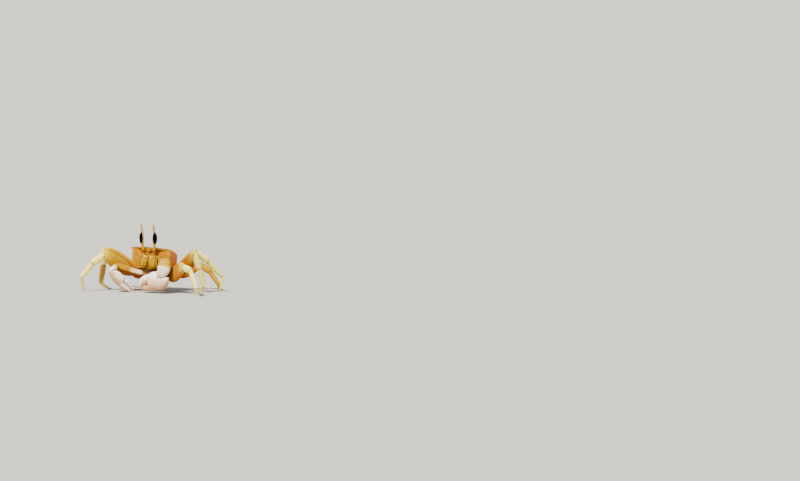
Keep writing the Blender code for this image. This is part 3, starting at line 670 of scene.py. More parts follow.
def shell_finish(name, body, far, root, under, lower, upper, blotch=0.25, shade=0.3, grain=0.8):
    """Calcified crab shell: chalky chitin under a thin clear skin.

    Past the upper share of the piece's length the body colour turns to the
    far colour, through a warm tone between them, and below the lower share it
    turns to the root colour. Where the field crest is low the colour turns
    towards the under colour, as far as the shade number gives: on a limb this
    is painted shade on its low side, and on the mouth plates it darkens their
    sunk seams, furrow, ring and pits. The blotches take the under colour too.
    Blotches of about 2 mm and specks of about 1 mm vary it, as pigment spots
    do. Fine pits and grains roughen it, so the eye reads a dry, faintly
    polished shell.
    """
    middle = (upper[0] + upper[1]) / 2
    warm = (0.6 * body[0] + 0.4 * far[0], 0.75 * body[1] + 0.25 * far[1], min(body[2], far[2]))
    return finish(
        name,
        fields=("along", "crest"),
        textures={
            "cloud": ("Noise", 4.0, 4.0),
            "spots": ("Noise", 2.0, 6.0, 0.65),
            "specks": ("Voronoi", 0.9),
            "pits": ("Voronoi", grain),
            "fine": ("Noise", 0.5, 3.0),
        },
        sums={
            "wobble": ("cloud", 0.24, -0.12),
            "share": ("along", 1.0, "wobble"),
            "low": ("crest", 1.0, "wobble"),
            "rough_skin": ("fine", 0.5, "pits"),
        },
        ramps={"rough": ("spots", 0.3, 0.8, 0.34, 0.5)},
        coats=(
            root,
            ("share", *lower, 0.0, 1.0, body),
            ("share", upper[0] - 0.08, middle, 0.0, 1.0, warm),
            ("share", middle - 0.05, upper[1], 0.0, 1.0, far),
            ("spots", 0.4, 0.75, 0.0, blotch, under),
            ("specks", 0.12, 0.3, 0.1, 0.0, linear("#F3DA95")),
            # Painted shade: the low side of a piece turns towards the under colour
            ("low", -0.9, 0.1, shade, 0.0, under),
        ),
        relief=("rough_skin", 0.35, 0.12, True),
        sockets={
            "Roughness": "rough",
            "Specular IOR Level": 0.12,
            "Specular Tint": (*linear("#FFDA89"), 1.0),
        },
    )


def carapace_finish(colours):
    """Golden shell of the back and face, with a red-brown orbit edge.

    The face is clear yellow with orange patches of about 6 mm, the flanks
    burn to orange, and the lower face is pale. The field edge marks the dark
    line under the margin and round the eyestalks' sockets, partly the
    margin's own red-brown and partly painted shadow of its overhang. Orbit
    marks the orange margin and the recess below it, flank the side walls and
    the rear, low the part under the mouth's corners, top the back, and
    mouth_frame the brown seams round the mouth. Grains of 0.7 mm cover it all.
    """
    return finish(
        "calcified_shell_golden",
        fields=("edge", "flank", "low", "top", "orbit", "mouth_frame"),
        textures={
            "cloud": ("Noise", 6.0, 5.0),
            "spots": ("Noise", 2.2, 6.0, 0.7),
            "pits": ("Voronoi", 0.7),
        },
        sums={
            "sway": ("cloud", 0.5, -0.25),
            "side": ("flank", 1.0, "sway"),
            "pale": ("low", 1.0, "sway"),
            "back": ("top", 1.0, "sway"),
        },
        ramps={"rough": ("spots", 0.3, 0.8, 0.34, 0.5)},
        coats=(
            colours.face,
            ("cloud", 0.47, 0.62, 0.0, 0.65, colours.patch),
            ("side", 0.1, 0.75, 0.0, 1.0, colours.flank),
            ("pale", 0.35, 0.95, 0.0, 0.75, colours.pale),
            ("back", 0.3, 0.9, 0.0, 0.8, colours.back),
            ("spots", 0.5, 0.7, 0.0, 0.6, colours.mottle),
            ("mouth_frame", 0.1, 0.9, 0.0, 0.8, colours.mottle),
            ("orbit", 0.1, 1.0, 0.0, 0.8, colours.patch),
            ("edge", 0.1, 0.75, 0.0, 0.9, colours.rim),
        ),
        relief=("pits", 0.5, 0.15, True),
        sockets={
            "Roughness": "rough",
            "Specular IOR Level": 0.1,
            "Specular Tint": (*linear("#FFD36C"), 1.0),
        },
    )


def claw_finish(colours):
    """Claw shell: white porcelain-like chitin with tan-pink grains low down.

    The field crest runs from the lower edge to the upper one. Low down the
    white gives way to pink-tan, partly the claw's own tone and partly painted
    shade on its lower side, and the grains' colour fades out above the
    middle. The field grain marks the raised grains, which are worn pale on
    top. The field gold marks the end of the wrist piece that keeps the arm's
    yellow, and line its brown creases and the painted shadow along the wrist
    piece's lowest edge above the palm.
    """
    return finish(
        "calcified_shell_white",
        fields=("crest", "grain", "gold", "line"),
        textures={
            "cloud": ("Noise", 5.0, 4.0),
            "dots": ("Voronoi", 1.7),
            "fine": ("Voronoi", 0.55),
        },
        sums={
            "sway": ("cloud", 1.2, -0.6),
            "level": ("crest", 1.0, "sway"),
            "yellow": ("sway", 0.4, "gold"),
        },
        ramps={
            "fade": ("level", -0.7, 0.9, 0.85, 0.102),
            "rough": ("cloud", 0.3, 0.7, 0.44, 0.56),
        },
        coats=(
            colours.claw_low,
            # Partly painted shade: below the middle the white gives way to the pink-tan
            ("level", -0.75, 0.9, 0.0, 1.0, colours.claw),
            ("dots", 0.15, 0.5, "fade", 0.0, colours.claw_grain),
            ("grain", 0.3, 0.9, 0.0, 0.65, colours.claw),
            ("yellow", 0.2, 0.7, 0.0, 1.0, colours.pale),
            ("yellow", 0.5, 1.0, 0.0, 1.0, colours.gold),
            ("line", 0.1, 0.9, 0.0, 0.75, colours.mottle),
        ),
        relief=("fine", 0.4, 0.12, True),
        sockets={"Roughness": "rough", "Specular IOR Level": 0.35},
    )


def cornea_finish(colours):
    """Compound eye: clear lens skin over black pigment, smooth, with a small faint highlight.

    Facets are drawn 0.3 mm apart, far coarser than real ones, so that their
    faint netting shows. A brown bloom keeps the black from looking painted.
    """
    return finish(
        "compound_eye_lens",
        textures={"cells": ("Voronoi", 0.3), "cloud": ("Noise", 3.0, 2.0)},
        coats=(colours.cornea, ("cloud", 0.45, 0.8, 0.0, 0.2, colours.cornea_bloom)),
        relief=("cells", 0.12, 0.05, True),
        sockets={
            "Roughness": 0.14,
            "Specular IOR Level": 0.03,
            "Coat Weight": 0.02,
            "Coat Roughness": 0.03,
        },
    )


def skin_finish(colours):
    """Joint skin: brown leathery membrane in the folds between shell pieces."""
    return finish(
        "arthrodial_skin_brown",
        textures={"folds": ("Noise", 0.7, 5.0)},
        coats=(colours.skin, ("folds", 0.35, 0.7, 0.0, 1.0, colours.skin_fold)),
        relief=("folds", 0.5, 0.1, False),
        sockets={"Roughness": 0.6},
    )


def floor_finish(colour):
    """Matt paper floor: fibres of about 2 mm keep it from looking like a flat fill."""
    dark = [value * 0.94 for value in colour]
    return finish(
        "matt_paper_floor",
        textures={"fibres": ("Noise", 2.0, 2.0)},
        coats=(dark, ("fibres", 0.3, 0.7, 0.0, 1.0, colour)),
        sockets={"Roughness": 0.85, "Specular IOR Level": 0.1},
    )


# Shell finishes: wearer, name, colours of the body, far end, root and underside, the last also
# the colour of the painted shade on the low side, the shares of the length between which the root
# and the far colour turn, and then blotches, the strength of that painted shade, pit size
FAR = (0.8, 1.0)
SHELL_FINISHES = (
    ("thigh", "calcified_shell_orange", "thigh knee thigh_root thigh_root", (0.1, 0.5), FAR, 0.25, 0.6),
    # The left thighs: deeper orange, partly their own colour and partly painted shade
    ("left_thigh", "calcified_shell_flame", "flame knee thigh_root thigh_root", (0.1, 0.5), FAR, 0.25, 0.6),
    ("shank", "calcified_shell_cream", "shank shank shank_root shank_root", (-0.15, 0.2), FAR, 0.2),
    # The hindmost left shank: gold in place of cream, as painted shade
    ("gold_shank", "calcified_shell_gold", "gold gold thigh_root thigh_root", (-0.1, 0.3), FAR),
    # The third right shank: tan in place of cream, as painted shade
    ("tan_shank", "calcified_shell_tan", "tan knee thigh_root thigh_root", (-0.1, 0.15), FAR),
    ("toe", "horny_toe_shell", "shank toe_tip shank_root shank_root", (-0.15, 0.2), FAR, 0.2),
    ("arm", "calcified_shell_amber", "face face thigh_root thigh_root", (0.0, 0.45), FAR),
    # The small arm: strong painted shade in the mottling brown on its low side
    ("pale_arm", "calcified_shell_pale_amber", "thigh thigh pale_arm mottle", (0.3, 0.6), FAR, 0.3, 0.95),
    # The chest, tail and feelers: straw darkened in part as painted shade under the body
    ("underside", "chalky_shell_straw", "underside underside shank_root mottle", (-0.1, 0.3), FAR, 0.4),
    ("mouth", "pitted_mouth_shell", "mouth pale mouth mouth_edge", (-0.2, 0.25), (0.6, 1.0), 0.4, 0.9, 0.6),
    ("stalk", "eyestalk_horn", "stalk horn stalk_foot horn_tip", (0.3, 0.45), (0.6, 0.75), 0.15, 0.0, 0.5),
)
FINISHES = {}


def finishes():
    """The pieces' finishes by what wears them, made once for the scene's colours."""
    if not FINISHES:
        colours = bpy.context.scene.crab_colours
        for wearer, name, tones, *numbers in SHELL_FINISHES:
            parts = [getattr(colours, tone) for tone in tones.split()]
            FINISHES[wearer] = shell_finish(name, *parts, *numbers)
        FINISHES["carapace"] = carapace_finish(colours)
        FINISHES["claw"] = claw_finish(colours)
        FINISHES["cornea"] = cornea_finish(colours)
        FINISHES["skin"] = skin_finish(colours)
    return FINISHES


def relief_size(name):
    """A size of the shell's relief from the scene's settings, in millimetres."""
    return getattr(bpy.context.scene.crab_relief, name) / MM


def sternum_outline():
    """Corners of the sternum's left half and each limb's facet centre, in plan."""
    corner = STERNUM_START.copy()
    corners = [corner.copy()]
    centres = {}
    for number, heading in FACET_HEADING.items():
        step = heading_vector(heading + 90)[:2] * FACET_WIDTH[number]
        centres[number] = corner + step / 2
        corner = corner + step
        corners.append(corner.copy())
    return corners, centres


def hip(number, side):
    """A limb's root on the sternum, the way it leaves, and the end of its coxa."""
    root = np.append(sternum_outline()[1][number], HIP_Z[number])
    way = heading_vector(FACET_HEADING[number])
    turn = np.array([SIGN[side], 1, 1])
    facet = body_turn(way * turn)
    start = body_place((root + way * GAP) * turn)
    coxa_end = body_place((root + way * COXA_LENGTH) * turn)
    return start, facet, coxa_end


def dorsal_height(x, y):
    """Height of the back: nearly level in front, rolled down at the sides and rear."""
    front = np.clip((-3 - y) / 18, 0, None)
    rear = np.clip((y + 3) / 19.5, 0, None)
    side_drop = 1.0 + 5.4 * np.clip((y + 16) / 14, 0, 1) ** 1.3
    across = np.clip(np.abs(x) / HALF_WIDTH, 0, 1)
    return DORSAL_Z - 1.2 * front**2 - 9.0 * rear**2.6 - side_drop * across**6


def back_grooves(x, y):
    """Furrows of the back, 0 to 1: an H in the middle and two arcs to the sides."""
    uprights = hill(np.abs(x), 5.6 + 0.035 * (y - 1) ** 2, 0.8) * bump(y, 0.5, 9.5)
    bar = hill(y, 2.2 + 0.06 * x**2, 0.75) * bump(x, 0, 6.2)
    arcs = hill(y, -3.5 - 0.55 * (np.abs(x) - 6), 0.9) * bump(np.abs(x), 11.5, 6.5)
    middle = hill(x, 0, 0.6) * bump(y, -14, 6)
    return np.clip(uprights + bar + 0.7 * arcs + 0.5 * middle, 0, 1)


def front_columns(count):
    """Wall of the front's left half: eight rows of points from its foot to the margin.

    The margin of the back overhangs the orbit, a recess that fades to either
    side. The middle lobe hangs down between the eyestalks, and each of them
    rises out of a notch beside it.
    """
    x = CORNER_X * np.linspace(0, 1, count) ** 1.1
    share = x / CORNER_X
    lobe = bump(x, 0, LOBE_HALF + 1.2) ** 0.5
    notch = bump(x, NOTCH_X, NOTCH_HALF)
    margin_y = MARGIN_CENTRE_Y + MARGIN_SWEEP * share**2.6 - LOBE_REACH * lobe + notch
    face_y = FACE_CENTRE_Y + FACE_SWEEP * share**2.2
    orbit_y = face_y + ORBIT_DEPTH * bump(x, ORBIT_X, ORBIT_HALF) * (1 - lobe)
    ridge_z = RIDGE_Z + RIDGE_RISE * share**2
    rim_z = dorsal_height(x, margin_y)
    under_z = rim_z - 0.8 - 2.4 * lobe
    flare = TOOTH_REACH * share**9
    level = np.ones(count)
    rows = (
        (x - WALL_INSETS[0] * share**3, face_y + 2.0, CARAPACE_FLOOR_Z * level),
        (x - WALL_INSETS[1] * share**3, face_y + 0.7, 28.0 * level),
        (x, face_y, 33.0 * level),
        (x, face_y - 0.4, ridge_z),
        (x, orbit_y, ridge_z + 0.9),
        (x + flare / 2, orbit_y, under_z - 0.8),
        (x + flare, margin_y + 0.2, under_z),
        (x + flare, margin_y, rim_z),
    )
    return np.array([np.stack(row, axis=-1) for row in rows])


def side_columns(side_count, rear_count):
    """Wall of the left side and the rear's left half, a superellipse in plan."""
    side_y = np.linspace(CORNER_Y, SIDE_END_Y, side_count + 1)[1:]
    side_x = HALF_WIDTH - 0.4 * ((SIDE_END_Y - side_y) / 12) ** 2
    angle = np.radians(np.linspace(0, 90, rear_count + 1)[1:])
    rear_x = HALF_WIDTH * np.cos(angle).clip(0) ** (2 / 3.2)
    rear_y = SIDE_END_Y + (REAR_Y - SIDE_END_Y) * np.sin(angle) ** (2 / 3.2)
    plan = np.column_stack([np.append(side_x, rear_x), np.append(side_y, rear_y)])
    rise = dorsal_height(plan[:, 0], plan[:, 1]) - CARAPACE_FLOOR_Z
    outward = plan - BACK_MIDDLE
    outward /= np.linalg.norm(outward, axis=1, keepdims=True)
    return np.array([
        np.column_stack([plan - outward * inset, CARAPACE_FLOOR_Z + share * rise])
        for share, inset in zip(WALL_SHARES, WALL_INSETS)
    ])


def carapace_grid():
    """Grid of the carapace, walked round from the front's middle, and its places up the wall.

    The wall runs up through eight rows on a monotone cubic, and the back
    closes over it as rings drawn in towards the middle, each at the height of
    the back less its furrows. The places go on over the back past the margin.
    """
    half = np.concatenate([front_columns(84), side_columns(26, 46)], axis=1)
    mirrored = half[:, 1:-1][:, ::-1] * np.array([-1, 1, 1])
    rows = np.concatenate([half, mirrored], axis=1)
    levels = np.linspace(0, MARGIN_ROW, 74)
    table = np.column_stack([np.arange(8), rows.reshape(8, -1)])
    wall = smooth_rows(levels, table).reshape(len(levels), -1, 3)
    shares = np.cos(np.linspace(0, np.pi / 2, 62))[1:-1]
    plan = BACK_MIDDLE + (wall[-1, :, :2] - BACK_MIDDLE) * shares[:, None, None]
    height = dorsal_height(plan[..., 0], plan[..., 1])
    height -= relief_size("groove_depth") * back_grooves(plan[..., 0], plan[..., 1])
    grid = np.concatenate([wall, np.concatenate([plan, height[..., None]], axis=2)])
    level = np.concatenate([levels, MARGIN_ROW + 6 * (1 - shares)])
    return grid, level[:, None] * np.ones(grid.shape[1]), walked(wall[-1])[-1]


def mouth_seams(x, z):
    """Seams of the lower face, 0 to 1: round the mouth plates, and the sutures beside them."""
    out, rise = np.abs(x) - MOUTH_X, z - MOUTH_Z
    cosine, sine = math.cos(MOUTH_SPLAY), math.sin(MOUTH_SPLAY)
    wide = (out * cosine + rise * sine) / MOUTH_HALF_WIDTH
    tall = (rise * cosine - out * sine) / MOUTH_HALF_HEIGHT
    outline = np.clip((1.4 - np.hypot(wide, tall)) / 0.22, 0, 1)
    parting = hill(x, 0, 2.6) * np.clip((35 - z) / 5, 0, 1)
    beside = np.abs(x) - 9
    suture = hill(z, 34.5 + 0.32 * beside, 0.5) + 0.8 * hill(z, 29.5 + 0.12 * beside, 0.5)
    suture = suture * np.clip((beside - 1) / 2, 0, 1) * np.clip((11.5 - beside) / 3, 0, 1)
    return outline + parting, suture


def carapace_surface():
    """The carapace with beads along its rims, grains over its face, and its colour fields."""
    grid, level, girth = carapace_grid()
    x, y, z = grid[..., 0], grid[..., 1], grid[..., 2]
    turn = np.arange(grid.shape[1]) / grid.shape[1] * np.ones_like(x)
    front = np.clip(1.6 * (bump(turn, 0.0, 0.27) + bump(turn, 1.0, 0.27)), 0, 1)
    bead = grains(z * 0, turn, relief_size("bead_spacing"), girth, 3, 0.5)
    rims = hill(level, MARGIN_ROW, 0.22) + 0.8 * front * hill(level, RIDGE_ROW, 0.25)
    grain = grains(z, turn, relief_size("grain_spacing"), girth, 11)
    recess = hill(level, RECESS_ROW, 0.9)
    grain *= (0.35 + 0.65 * front * (1 - recess) * (level < 6.5)) * (level < 6.6) * (level > 0.3)
    lower = front * (level < RIDGE_ROW + 0.3)
    outline, suture = mouth_seams(x, z)
    keel = hill(y, -24.0, 3.0) * hill(np.abs(x), 1.6, 0.7) * (level > 5.5) * (level < MARGIN_ROW)
    lift = relief_size("bead_height") * bead * np.clip(rims, 0, 1)
    lift += relief_size("grain_height") * grain - 0.3 * lower * suture - 0.25 * keel
    sides = np.clip((np.abs(x) - 15) / 8, 0, 1) * np.clip((y + 19) / 5, 0, 1) * (level < 9)
    # Painted shadow: the edge field lays the rim colour in the line under the margin's overhang and round
    # each eyestalk's socket, partly the margin's own red-brown
    socket = hill(level, 5.0, 0.8) * hill(np.abs(x), 9.8, 2.4)
    fields = {
        "edge": np.clip(front * (hill(level, EDGE_ROW, 0.55) + 1.3 * socket), 0, 1),
        "flank": np.maximum(sides, 0.55 * np.clip((y - 2) / 8, 0, 1)),
        "low": np.clip((36 - z) / 12, 0, 1) * front,
        "top": np.clip((level - 6.9) / 2, 0, 1),
        "orbit": front * np.maximum(hill(level, 6.7, 0.5), 0.7 * hill(level, RECESS_ROW, 0.4)),
        "mouth_frame": np.clip(lower * (outline + suture), 0, 1),
    }
    return displaced(body_place(grid), lift), fields


def shell_tail_surface():
    """The tail, a thin plate folded from the rear under the body, ringed by its joints."""
    route = (
        (18.4, 23.4), (18.4, 15.4), (17.9, 14.0), (16.3, 12.1), (13.0, 10.5), (10.0, 10.4), (-9.0, 10.5)
    )
    path = body_place([(0.0, y, z) for y, z in route])
    path = points_at(path, np.linspace(0, walked(path)[-1], 240))
    profile = (
        (0.00, 0.75, 0.75, 5.6),
        (0.10, 0.8, 0.8, 6.2),
        (0.24, 0.8, 0.8, 6.4),
        (0.36, 0.8, 0.8, 6.1),
        (0.60, 0.8, 0.8, 4.8),
        (0.85, 0.75, 0.75, 3.4),
        (1.00, 0.5, 0.5, 1.6),
    )
    grid, fields, _ = rod(path, body_turn((1, 0, 0)), profile, 150, 48, 3.0)
    joints = (0.1, 0.24, 0.39, 0.55, 0.71, 0.86)
    seams = sum(hill(fields["along"], place, 0.012) for place in joints)
    grid = displaced(grid, -0.22 * seams)
    return capped(grid, fields)


def sternum_surface():
    """The chest: the facets' outline in plan, stacked, with a seam towards each leg."""
    corners = sternum_outline()[0]
    plan = np.array([*corners, *[(-x, y) for x, y in corners[::-1]]])
    closed = np.vstack([plan, plan[:1]])
    outline = points_at(closed, np.linspace(0, walked(closed)[-1], 241)[:-1])
    middle = np.array([0.0, 1.0])
    rows = (
        (0.0, 11.75, 0.0),
        (0.2, 11.8, 0.35),
        (0.45, 11.9, 0.72),
        (0.6, 13.2, 0.9),
        (0.7, 15.0, 1.0),
        (0.85, 21.5, 1.0),
        (1.0, STERNUM_TOP_Z, 0.98),
    )
    levels = np.linspace(0.02, 1, 90)
    sizes = smooth_rows(levels, rows)
    flat = middle + (outline - middle) * sizes[:, 1, None, None]
    height = sizes[:, 0, None, None] * np.ones((len(outline), 1))
    grid = np.concatenate([flat, height], axis=2)
    seams = np.zeros(len(outline))
    for corner in plan:
        away = np.linalg.norm(outline - corner, axis=1)
        seams = np.maximum(seams, hill(away, 0, 0.45))
    depth = -0.35 * seams[None] * bump(levels, 0.5, 0.4)[:, None]
    return capped(displaced(body_place(grid), depth), ring_fields(levels, seams * 0))


def lining_surface():
    """Skin between chest and carapace: a flat ellipsoid in the carapace's open foot."""
    grid, fields = blob(LINING_CENTRE, np.eye(3), LINING_HALF, 24, 60)
    return body_place(grid), fields


def mouth_surface(side):
    """Outer mouthpart: an oval plate, domed forward, that leans out at its foot.

    Its seam runs across the upper third, its furrow along the inner half, and
    a worn ring lies inside its edge. Small pits cover the dome.
    """
    across, upward = oval(96, 2.3)
    rows = (
        (0.0, -21.9, 0.88),
        (0.15, -22.1, 0.97),
        (0.3, -22.6, 1.0),
        (0.55, -23.6, 0.92),
        (0.8, -24.5, 0.66),
        (0.93, -24.85, 0.34),
        (1.0, -24.95, 0.03),
    )
    levels = np.linspace(0, 1, 70)
    sizes = smooth_rows(levels, rows)
    wide = MOUTH_HALF_WIDTH * sizes[:, 1:] * across
    tall = MOUTH_HALF_HEIGHT * sizes[:, 1:] * upward
    seam = hill(tall, 2.6 + 0.1 * wide**2, 0.45)
    furrow = hill(wide, -1.6, 0.45) * bump(tall, -2.2, 4.6)
    ring = hill(np.hypot(wide / MOUTH_HALF_WIDTH, tall / MOUTH_HALF_HEIGHT), 0.8, 0.07)
    pits = grains(tall + 9, wide / 20 + 0.5, 2.1, 20, 5, 0.32)
    outer = np.clip((levels - 0.3) * 6, 0, 1)[:, None]
    y = sizes[:, :1] + outer * (0.4 * seam + 0.32 * furrow + 0.2 * ring + 0.14 * pits)
    cosine, sine = math.cos(MOUTH_SPLAY), math.sin(MOUTH_SPLAY)
    x = SIGN[side] * (MOUTH_X + wide * cosine - tall * sine)
    z = MOUTH_Z + wide * sine + tall * cosine
    marks = np.clip(np.maximum(seam, furrow) + 0.6 * ring + 1.4 * pits, 0, 1)
    share = np.clip(0.5 + tall / (2 * MOUTH_HALF_HEIGHT), 0, 1)
    fields = {"along": share, "crest": 1 - 2.4 * marks * outer}
    return capped(body_place(np.stack([x, y, z], axis=2)), fields)


def palp_surface(side):
    """Slim outer branch beside each mouthpart, a bent rod that tapers upward."""
    route = ((10.6, -21.9, 26.0), (10.9, -23.0, 30.0), (10.7, -22.9, 35.5), (8.9, -23.0, 39.2))
    path = body_place(bezier([(SIGN[side] * x, y, z) for x, y, z in route], 50))
    profile = (
        (0.0, 0.5, 0.5, 0.5),
        (0.2, 0.75, 0.75, 0.6),
        (0.7, 0.6, 0.6, 0.5),
        (1.0, 0.25, 0.25, 0.25),
    )
    grid, fields, _ = rod(path, (0, -1, 0), profile, 40, 20)
    return capped(grid, fields, 0.15)


def feeler_surface(side):
    """Antenna: two thick basal rings and a whip of fine rings that tapers."""
    route = ((2.9, -21.9, 40.6), (3.2, -24.2, 40.8), (4.6, -26.0, 40.9), (7.4, -27.0, 40.2))
    path = body_place(bezier([(SIGN[side] * x, y, z) for x, y, z in route], 60))
    profile = (
        (0.0, 0.75, 0.75, 0.8),
        (0.18, 0.78, 0.78, 0.82),
        (0.34, 0.7, 0.7, 0.75),
        (0.46, 0.42, 0.42, 0.45),
        (1.0, 0.2, 0.2, 0.2),
    )
    grid, fields, length = rod(path, UP, profile, 90, 18)
    share = fields["along"]
    whip = np.clip((share - 0.45) * 12, 0, 1)
    rings = -0.1 * hill(share, 0.2, 0.012) - 0.1 * hill(share, 0.36, 0.012)
    rings = rings + 0.035 * whip * np.cos(2 * np.pi * share * length / 0.55)
    return capped(displaced(grid, rings), fields, 0.08)


def eye_frame(side):
    """The bulb's centre, the way the cornea looks, and the way across."""
    turn = np.array([SIGN[side], 1, 1])
    out = heading_vector(-EYE_TURN) * turn
    return np.array([EYE_X, EYE_Y, EYE_Z]) * turn, out, np.cross(UP, out)


def stalk_surface(side):
    """Eyestalk: knob, neck, back of the bulb and horn, in rings up its height."""
    centre, out, across = eye_frame(side)
    foot = body_place(EYE_FOOT * np.array([SIGN[side], 1, 1]))
    cosine, sine = oval(56, 2.0)
    low, high = STALK[0][0], STALK[-1][0]
    height = np.linspace(low, high, 170)
    sizes = smooth_rows(height, STALK)
    back, half_out, half_across = sizes[:, 0:1], sizes[:, 1:2], sizes[:, 2:3]
    share = np.clip((PEDUNCLE_TOP - height) / (PEDUNCLE_TOP - low), 0, 1)
    spine = centre + UP * height[:, None] + share[:, None] * (foot - centre - UP * low)
    spine[:, 0] += HORN_LEAN * np.clip((height - HORN_ROOT) / HORN_ROOT, 0, 1)
    reach = back + half_out * cosine
    beside = ((height > -6.0) & (height < 6.5))[:, None]
    reach = np.where(beside, np.minimum(reach, CORNEA_CUT - GAP), reach)
    grid = spine[:, None] + reach[..., None] * out + (half_across * sine)[..., None] * across
    groove = hill(height, -13.6, 0.3) + hill(height, -9.2, 0.35)
    grid = displaced(grid, -0.18 * groove[:, None] * np.ones_like(sine))
    return capped(grid, ring_fields((height - low) / (high - low), sine * 0), 0.3)


def cornea_surface(side):
    """Cornea: the front of the bulb's ellipsoid, cut flat where the stalk backs it."""
    centre, out, across = eye_frame(side)
    cosine, sine = oval(80, 2.0)
    height = np.sin(np.linspace(math.asin(-0.87), math.asin(0.985), 72))
    width = np.sqrt(1 - height**2)[:, None]
    reach = np.maximum(BULB[0] * width * cosine, CORNEA_CUT)
    grid = centre + (BULB[2] * height)[:, None, None] * UP
    grid = grid + reach[..., None] * out + (BULB[1] * width * sine)[..., None] * across
    return capped(grid, ring_fields(height * 0.5 + 0.5, sine * 0))


def leg_joints(number, side, heading, lean, pitches, swing):
    """Coxa end, knee, two lower joints and the toe, with the leg plane's normal."""
    flat = heading_vector(heading)
    sideways = np.array([-flat[1], flat[0], 0.0])
    tilt = math.radians(lean)
    rise = math.cos(tilt) * UP + math.sin(tilt) * sideways
    normal = np.cross(flat, rise)
    lengths = [share * CARAPACE_WIDTH for share in SEGMENT_SHARE[number]]
    joints = [hip(number, side)[2]]
    for length, pitch in zip(lengths, pitches):
        angle = math.radians(pitch)
        joints.append(joints[-1] + length * (math.cos(angle) * flat + math.sin(angle) * rise))
    turn = math.radians(swing)
    fall = -joints[-1][2] / lengths[3] - math.sin(turn) * math.sin(tilt)
    pitch = -math.pi - math.asin(fall / (math.cos(turn) * math.cos(tilt)))
    toe = math.cos(turn) * (math.cos(pitch) * flat + math.sin(pitch) * rise) + math.sin(turn) * normal
    joints.append(joints[-1] + lengths[3] * toe)
    return joints, normal


def shared_plane(before, joint, after):
    """The normal of the plane that halves the bend at a joint."""
    return unit(unit(joint - before) + unit(after - joint))


def short_of(joint, other, normal):
    """The point half the gap from a joint's plane, on the straight way to another point."""
    way = unit(other - joint)
    return joint + way * GAP / 2 / abs(np.dot(way, normal))


def between(start, end, normal_start, normal_end):
    """A straight path from joint to joint that leaves half the gap at each."""
    return np.linspace(short_of(start, end, normal_start), short_of(end, start, normal_end), 20)


def merus_relief(fields, length):
    """Bead rows along both edges of the thigh and fine ridges across its flanks."""
    share, crest = fields["along"], fields["crest"]
    place = share * length
    edge = np.clip((np.abs(crest) - 0.86) * 7, 0, 1)
    beads = np.cos(np.pi * place / relief_size("bead_spacing")) ** 2
    ends = np.clip(np.minimum(share - 0.22, 0.97 - share) * 14, 0, 1)
    ridges = np.clip(np.sin(2 * np.pi * (place / 1.5 + 0.35 * np.sin(crest * 4))), 0, 1)
    flank = np.clip(1 - np.abs(crest) * 1.1, 0, 1)
    lift = (relief_size("bead_height") * beads * edge + 0.05 * ridges * flank) * ends
    return lift - 0.3 * hill(share, 0.155, 0.012)


def shank_relief(fields, length):
    """Two furrows along each flank of a lower segment, and a collar at each joint."""
    share, crest = fields["along"], fields["crest"]
    ends = np.clip(np.minimum(share, 1 - share) * 8, 0, 1)
    furrow = hill(crest, 0.42, 0.13) + hill(crest, -0.42, 0.13)
    collar = hill(share * length, 0.9, 0.35) + hill((1 - share) * length, 0.9, 0.35)
    return 0.1 * collar - relief_size("furrow_depth") * furrow * ends


def toe_relief(fields, _):
    """Grooves that run down the toe to its horny point, whatever its length."""
    crest = fields["crest"]
    groove = hill(crest, 0.45, 0.16) + hill(crest, -0.45, 0.16)
    return -0.8 * relief_size("furrow_depth") * groove * bump(fields["along"], 0.45, 0.42)


def segment(name, node, wearer, slot, relief, surface):
    """One shell piece of a limb, with its relief, that never reaches below the floor."""
    grid, fields, length = surface
    grid = displaced(grid, relief(fields, length))
    grid[..., 2] = np.maximum(grid[..., 2], 0.0)
    piece(name, [capped(grid, fields)], wearer, slot, node)


def hip_skin(start, facet, wide, tall):
    """A flat cushion of skin between a limb's root and the chest."""
    return blob(start, (np.cross(facet, UP), UP, facet), (wide, tall, 0.8))


